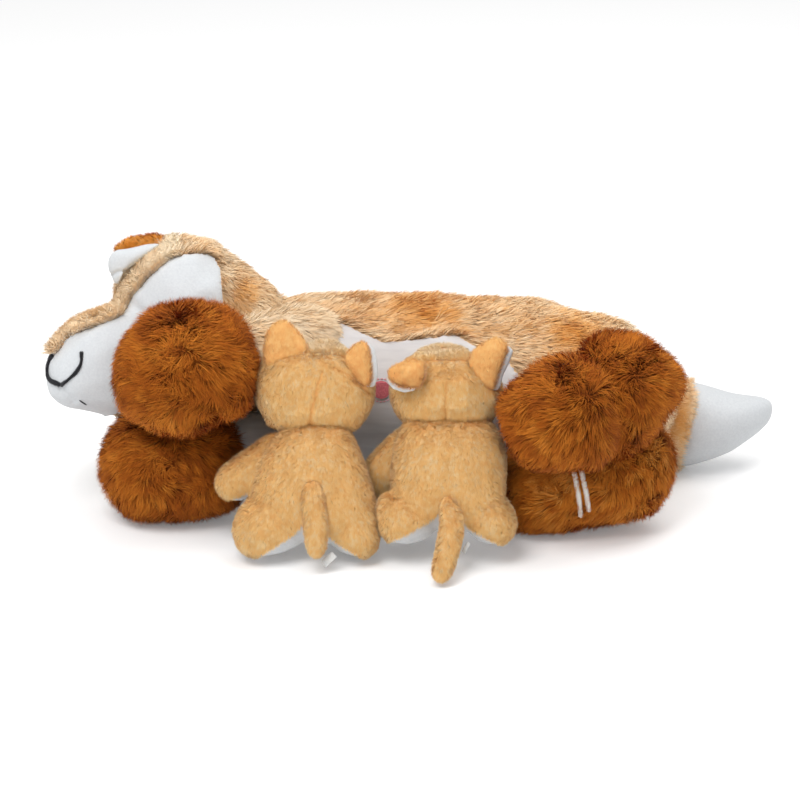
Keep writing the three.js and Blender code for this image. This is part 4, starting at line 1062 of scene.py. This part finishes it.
# The pile along the thigh's crease is darkened there, a painted shade
pile("hind_upper_pile", "hind_upper", upper_leg, from_place(600, 372, 0.3), PAW_TONE, 9, seams=THIGH_CREASE,
     **THIGH_COAT)
pile("hind_lower_pile", "hind_lower", lower_leg, from_place(640, 450, 0.3), patch(0.56), 10, **HIND_COAT)
pile("tail_base_pile", "tail", tail_root, steady(1, -0.1, -0.3), patch(0.16, (672, 418, 15, 34, 0.6)), 11,
     **TAIL_COAT)

# The ear that shows is folded over: its furry back shows above the smooth lining
near_lining = gathered([pillow(EAR_INSIDE, depth=-11, front=6, back=5)], voxel=1.2, rounds=4, swell=0.0)
near_back = gathered([pillow(EAR_BACK, depth=-5, front=5, back=5)], voxel=1.2, rounds=4, swell=-1.0)
dented(near_lining, [EAR_FOLD], depth=1.6, width=1.2)
skin("ear_left", "ear_left", near_back, "brown_cloth", "ear_left_back", padded=False)
skin("ear_left_inside", "ear_left", near_lining, "white_plush", "ear_left_lining", padded=False)
pile("ear_left_pile", "ear_left", near_back, steady(-0.5, -0.1, 0.6), patch(0.78), 12, **EAR_COAT)

# The ear behind the head keeps the source's shape, furry behind and smooth inside
far_ear = gathered([node("ear_right_back"), node("ear_right_lining")], voxel=1.2, rounds=8, swell=0.2)
is_lining = shared_out(far_ear, ["ear_right_back", "ear_right_lining"]) == 1
far_back, far_lining = far_ear.part(~is_lining), far_ear.part(is_lining)
skin("ear_right", "ear_right", far_back, "brown_cloth", "ear_right_back", padded=False)
skin("ear_right_inside", "ear_right", far_lining, "white_plush", "ear_right_lining", padded=False)
pile("ear_right_pile", "ear_right", far_back, steady(-0.5, -0.3, 0.3), PAW_TONE, 14, **FAR_EAR_COAT)

# The nose and the mouth, embroidered on the face
face_tree = head.tree()
face_depth = float(np.median(depths_of(face.points)))
for part, line in NOSE.items():
    path = cast(face_tree, along(line), 0.5, face_depth)
    outline_thread = strand(path, NOSE_RADIUS[part] * MM, turns=16, plies=2)
    thread(f"nose_outline_{part}", "head", outline_thread, "black_thread")
thread("mouth_line", "head", strand(cast(face_tree, along(MOUTH), 0.2), 0.5 * MM), "black_thread")


def stitch_ring(name, tree, stitches=22, ring=8.2, radius=0.42, lift=0.3, length_share=0.72):
    """A ring of stitches round a felt nipple, its sizes in millimetres."""
    low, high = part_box(name)
    points, triangles = [], []
    for k in range(stitches):
        path = []
        for share in (0.0, 0.33, 0.66, 1.0):
            turn = 2 * math.pi * (k + length_share * share) / stitches
            spot = (low + high) / 2 + Vector((math.cos(turn), 0, math.sin(turn))) * ring * MM
            place, normal, _, _ = tree.find_nearest(spot)
            path.append(place + normal * lift * MM)
        own_points, own_triangles = strand(path, radius * MM)
        triangles.append(own_triangles + sum(len(p) for p in points))
        points.append(own_points)
    thread(f"{name}_stitches", "torso", (np.concatenate(points), np.concatenate(triangles)), "pink_thread")


belly_tree = torso.tree()
for name in ("nipple_1", "nipple_2", "nipple_3"):
    stitch_ring(name, belly_tree)

# Two twisted yarns stitched over the toes of the lower hind leg
leg_tree = lower_leg.tree()
for name, line in TOE_YARNS.items():
    path = cast(leg_tree, along(line, 0.5), 4.2)
    thread(f"{name}_twist", "hind_lower", strand(path, 1.8 * MM, turns=9, plies=3), "white_yarn", name)

# The kits

KITS = {
    "kit_1": {
        "trunk": [(291, 418), (320, 414), (347, 420), (358, 442), (367, 465), (374, 486), (380, 512),
                  (379, 532), (368, 545), (340, 548), (300, 545), (268, 536), (252, 520), (250, 496),
                  (253, 475), (261, 452), (274, 436)],
        "legs": [
            [(230, 532), (232, 519), (240, 505), (253, 492), (270, 486), (290, 492), (304, 510), (308, 530),
             (305, 546), (284, 556), (263, 560), (247, 558), (236, 550)],
            [(382, 536), (380, 515), (371, 500), (354, 494), (338, 502), (327, 520), (325, 540), (335, 553),
             (350, 559), (368, 560), (379, 551)],
        ],
        "leg_depth": -83,
        "arm": [(274, 430), (255, 441), (235, 455), (218, 468), (212, 480), (214, 492), (225, 502),
                (238, 505), (252, 500), (266, 486), (282, 465), (290, 440)],
        "arm_depth": -64,
        "tail": [(301, 484), (306, 478), (314, 476), (322, 481), (326, 493), (329, 512), (330, 535),
                 (328, 550), (322, 559), (313, 560), (306, 554), (303, 540), (301, 520), (299, 500)],
        "tail_depth": (-101, 0.12),
        "skull": [(266, 350), (257, 364), (250, 380), (252, 396), (258, 411), (269, 425), (289, 434),
                  (320, 436), (351, 434), (363, 426), (373, 409), (377, 393), (376, 378), (371, 362),
                  (355, 350), (330, 344), (306, 343), (285, 345)],
        "brow": [(300, 354), (306, 343), (318, 338), (335, 339), (347, 346), (352, 358), (330, 364),
                 (306, 362)],
        "ear_depths": (-80, -84),
        "ears": [
            [(265, 368), (263, 350), (267, 332), (275, 323), (285, 320), (294, 327), (303, 338), (309, 350),
             (300, 364), (282, 372)],
            [(343, 362), (348, 351), (355, 345), (363, 341), (368, 345), (371, 357), (372, 372), (371, 386),
             (364, 388), (352, 377)],
        ],
        "ear_insides": [
            [(268, 366), (267, 340), (277, 326), (288, 323), (300, 340), (304, 356), (290, 368)],
            [(355, 362), (362, 346), (369, 342), (375, 349), (378, 362), (378.5, 376), (375, 387),
             (366, 388), (357, 378)],
        ],
        "white": [
            [(242, 563), (256, 556), (268, 549), (282, 541), (295, 531), (304, 521), (312, 545), (300, 560),
             (280, 572), (242, 572)],
            [(320, 525), (328, 533), (338, 542), (349, 549), (360, 555), (372, 561), (372, 572), (320, 572)],
            [(218, 500), (229, 497.5), (239, 495), (247, 491), (249, 496), (241, 501), (234, 505),
             (222, 508)],
        ],
        "head_seams": [
            [(322, 371), (318, 384), (313, 404), (309, 427)],
            [(333, 366), (342, 370), (350, 375), (360, 384), (368, 392)],
        ],
        "tab": ([(321, 560), (332, 551.5)], [(325.5, 567.5), (337, 557)]),
    },
    "kit_2": {
        "trunk": [(405, 415), (445, 411), (486, 415), (500, 430), (507, 445), (508, 465), (507, 487),
                  (506, 507), (494, 530), (470, 536), (440, 533), (410, 530), (393, 514), (389, 490),
                  (390, 462), (394, 440)],
        "legs": [
            [(373, 512), (376, 499), (384, 491), (398, 489), (416, 496), (433, 509), (441, 522), (438, 534),
             (428, 542), (408, 548), (388, 545), (377, 533)],
            [(519, 522), (515, 508), (506, 495), (490, 489), (473, 498), (463, 515), (463, 531), (475, 543),
             (490, 548), (507, 545), (516, 536)],
        ],
        "leg_depth": -86,
        "arm": [(404, 424), (390, 433), (377, 446), (364, 460), (361, 476), (367, 493), (377, 502),
                (392, 496), (402, 470), (412, 440)],
        "arm_depth": -56,
        "tail": [(438, 500), (442, 494), (448, 491), (457, 498), (465, 513), (466, 534), (462, 550),
                 (457, 567), (451, 580), (443, 585), (433, 582), (429, 573), (433, 552), (438, 525)],
        "tail_depth": (-109, 0.3),
        "skull": [(390, 380), (387, 392), (391, 408), (400, 422), (420, 430), (445, 431), (470, 430),
                  (491, 425), (498, 414), (502, 400), (500, 384), (491, 367), (475, 357), (452, 352),
                  (428, 352), (408, 356), (396, 366)],
        "brow": [(406, 360), (418, 348), (433, 343), (450, 342), (466, 346), (476, 356), (455, 366),
                 (425, 366)],
        "ear_depths": (-97, -84),
        "ears": [
            [(425, 363), (410, 361), (396, 365), (388, 371), (388, 379), (397, 386), (410, 389), (420, 389),
             (426, 376)],
            [(467, 366), (471, 353), (482, 344), (495, 338), (504, 341), (509, 347), (504, 362), (498, 377),
             (494, 392), (480, 386)],
        ],
        "ear_insides": [
            [(418, 372), (398, 368), (387, 374), (386.5, 381), (392, 389), (404, 393), (415, 391),
             (420, 382)],
            [(488, 356), (498, 341), (507, 344), (514, 350), (509, 364), (503, 376), (500, 390), (490, 392),
             (485, 376)],
        ],
        "white": [
            [(370, 547), (382, 542), (396, 537), (411, 531), (426, 522), (440, 511), (446, 540), (430, 556),
             (370, 558)],
            [(458, 515), (466, 524), (476, 531), (487, 537), (499, 542), (512, 547), (512, 558), (458, 558)],
        ],
        "head_seams": [
            [(446, 379), (445.5, 392), (445, 408), (446, 422)],
            [(471, 362), (478, 371), (486, 381), (498, 391)],
        ],
        "tab": ([(461.5, 551), (467, 541)], [(464.5, 554.5), (470.5, 544)]),
    },
}


def add_kit(kit, form, seed):
    head_body = f"{kit}_head"
    trunk = gathered(
        [pillow(form["trunk"], depth=-75, front=25, back=24, lean=0.12, fullness=2.6)]
        + [pillow(leg, form["leg_depth"], front=17, back=17, lean=0.1) for leg in form["legs"]]
        + [pillow(form["arm"], form["arm_depth"], front=13, back=12)],
        voxel=1.5, rounds=4, swell=-SHORT,
    )
    for outline in form["white"]:
        snapped(trunk, outline, 0.7)
    places = photo_places(trunk.centres())
    under = ~faces_camera(trunk.faces_out, -0.3)
    for outline in form["white"]:
        under |= inside_outline(places, outline)
    back, underside = trunk.part(~under), trunk.part(under)
    skull = gathered(
        [node(f"{kit}_head_skin"), node(f"{kit}_head_filling"),
         pillow(form["skull"], depth=-64, front=28, back=20, fullness=2.7),
         pillow(form["brow"], depth=-54, front=15, back=12)],
        voxel=1.5, rounds=6, swell=-SHORT,
    )
    dented(skull, form["head_seams"], depth=1.1, width=1.6)
    tail_depth, tail_lean = form["tail_depth"]
    kit_tail = gathered(
        [pillow(form["tail"], tail_depth, front=8, back=8, lean=tail_lean),
         plug(f"{kit}_tail_lift", 5, behind=4)],
        voxel=1.3, rounds=4, swell=-SHORT,
    )

    thread(f"{kit}_tab", kit, folded_ribbon(*form["tab"], -97), "tab_ribbon", f"{kit}_sewn_tab")
    skin(f"{kit}_body", kit, back, "apricot_cloth", f"{kit}_back_skin", f"{kit}_body_filling")
    skin(f"{kit}_underside", kit, underside, "white_plush", f"{kit}_belly_panel")
    skin(f"{kit}_head_cloth", head_body, skull, "apricot_cloth", f"{kit}_head_skin", f"{kit}_head_filling")
    skin(f"{kit}_tail_cloth", f"{kit}_tail", kit_tail, "apricot_cloth", f"{kit}_tail")

    combed_down = steady(0, -0.5, -1)
    brow_column, brow_row = np.mean(form["brow"], axis=0)
    head_tone = patch(0.5, (brow_column, brow_row - 5, 32, 11, 0.6))
    pile(f"{kit}_body_pile", kit, back, combed_down, patch(0.5), seed, **KIT_COAT)
    pile(f"{kit}_head_pile", head_body, skull, combed_down, head_tone, seed + 1, seams=form["head_seams"],
         **KIT_COAT)
    pile(f"{kit}_tail_pile", f"{kit}_tail", kit_tail, combed_down, patch(0.5), seed + 2, **KIT_COAT)

    for number, side in enumerate(("left", "right")):
        ear = f"{kit}_ear_{side}"
        outline, inside, depth = (form[key][number] for key in ("ears", "ear_insides", "ear_depths"))
        ear_back = gathered([pillow(outline, depth, front=4.5, back=3)], voxel=1.0, rounds=3, swell=-0.6)
        ear_inside = gathered([pillow(inside, depth + 3, front=3.5, back=3)], voxel=1.0, rounds=3, swell=0.0)
        skin(ear, head_body, ear_back, "apricot_cloth", f"{ear}_back", padded=False)
        skin(f"{ear}_inside", head_body, ear_inside, "white_plush", f"{ear}_lining", padded=False)
        pile(f"{ear}_pile", head_body, ear_back, steady(0, -0.2, 1), patch(0.3), seed + 3 + number,
             **KIT_EAR_COAT)


for number, (kit, form) in enumerate(KITS.items()):
    add_kit(kit, form, seed=40 + 20 * number)

# Small trim on the source's own solids

for name, obj in frame["nodes"].items():
    for word, material in (("magnet", "steel"), ("nipple", "pink_felt")):
        if word in name:
            obj.data.materials.clear()
            obj.data.materials.append(materials[material])
            break

# The stage

FLOOR_HALF = 6
FLOOR_COLOUR = (0.93, 0.93, 0.93, 1)
FLOOR_GLOW = 0.16
WORLD_LIGHT = 0.66
# Each lamp's place and size in metres, and its power in watts
LAMPS = {
    "key": ((-0.5, -0.9, 1.5), 1.0, 16.5),
    "top": ((0.5, 0.2, 1.8), 1.4, 12.5),
}
LAMP_AIM = Vector((0, 0, 0.08))


def add_floor():
    """A pale floor that shows as white to the camera and keeps the shadow."""
    mesh = bpy.data.meshes.new("floor")
    corners = [(x * FLOOR_HALF, y * FLOOR_HALF, 0) for x, y in ((-1, -1), (1, -1), (1, 1), (-1, 1))]
    mesh.from_pydata(corners, [], [(0, 1, 2, 3)])
    placed("floor", mesh)
    material, tree, shader = new_material("floor", 0.9)
    new, link = tree.nodes.new, tree.links.new
    shader.inputs["Base Color"].default_value = FLOOR_COLOUR
    shader.inputs["Specular IOR Level"].default_value = 0
    path = new("ShaderNodeLightPath")
    glow = new("ShaderNodeEmission")
    add = new("ShaderNodeAddShader")
    scale = new("ShaderNodeMath")
    scale.operation = "MULTIPLY"
    scale.inputs[1].default_value = FLOOR_GLOW
    link(path.outputs["Is Camera Ray"], scale.inputs[0])
    link(scale.outputs[0], glow.inputs["Strength"])
    link(shader.outputs[0], add.inputs[0])
    link(glow.outputs[0], add.inputs[1])
    link(add.outputs[0], tree.nodes["Material Output"].inputs["Surface"])
    mesh.materials.append(material)


def add_world():
    """White to the camera, and softer as a light."""
    world = bpy.data.worlds.new("world")
    bpy.context.scene.world = world
    world.use_nodes = True
    new, link = world.node_tree.nodes.new, world.node_tree.links.new
    background = world.node_tree.nodes["Background"]
    background.inputs["Color"].default_value = (1, 1, 1, 1)
    path = new("ShaderNodeLightPath")
    level = new("ShaderNodeMix")
    level.inputs[2].default_value = WORLD_LIGHT
    level.inputs[3].default_value = 1
    link(path.outputs["Is Camera Ray"], level.inputs[0])
    link(level.outputs[0], background.inputs["Strength"])


def add_lamps():
    for name, (place, size, power) in LAMPS.items():
        lamp = bpy.data.lights.new(name, "AREA")
        lamp.shape = "DISK"
        lamp.size = size
        lamp.energy = power
        aimed(placed(name, lamp), place, LAMP_AIM - Vector(place))


add_camera()
add_floor()
add_world()
add_lamps()
bpy.context.scene.view_settings.view_transform = "Standard"
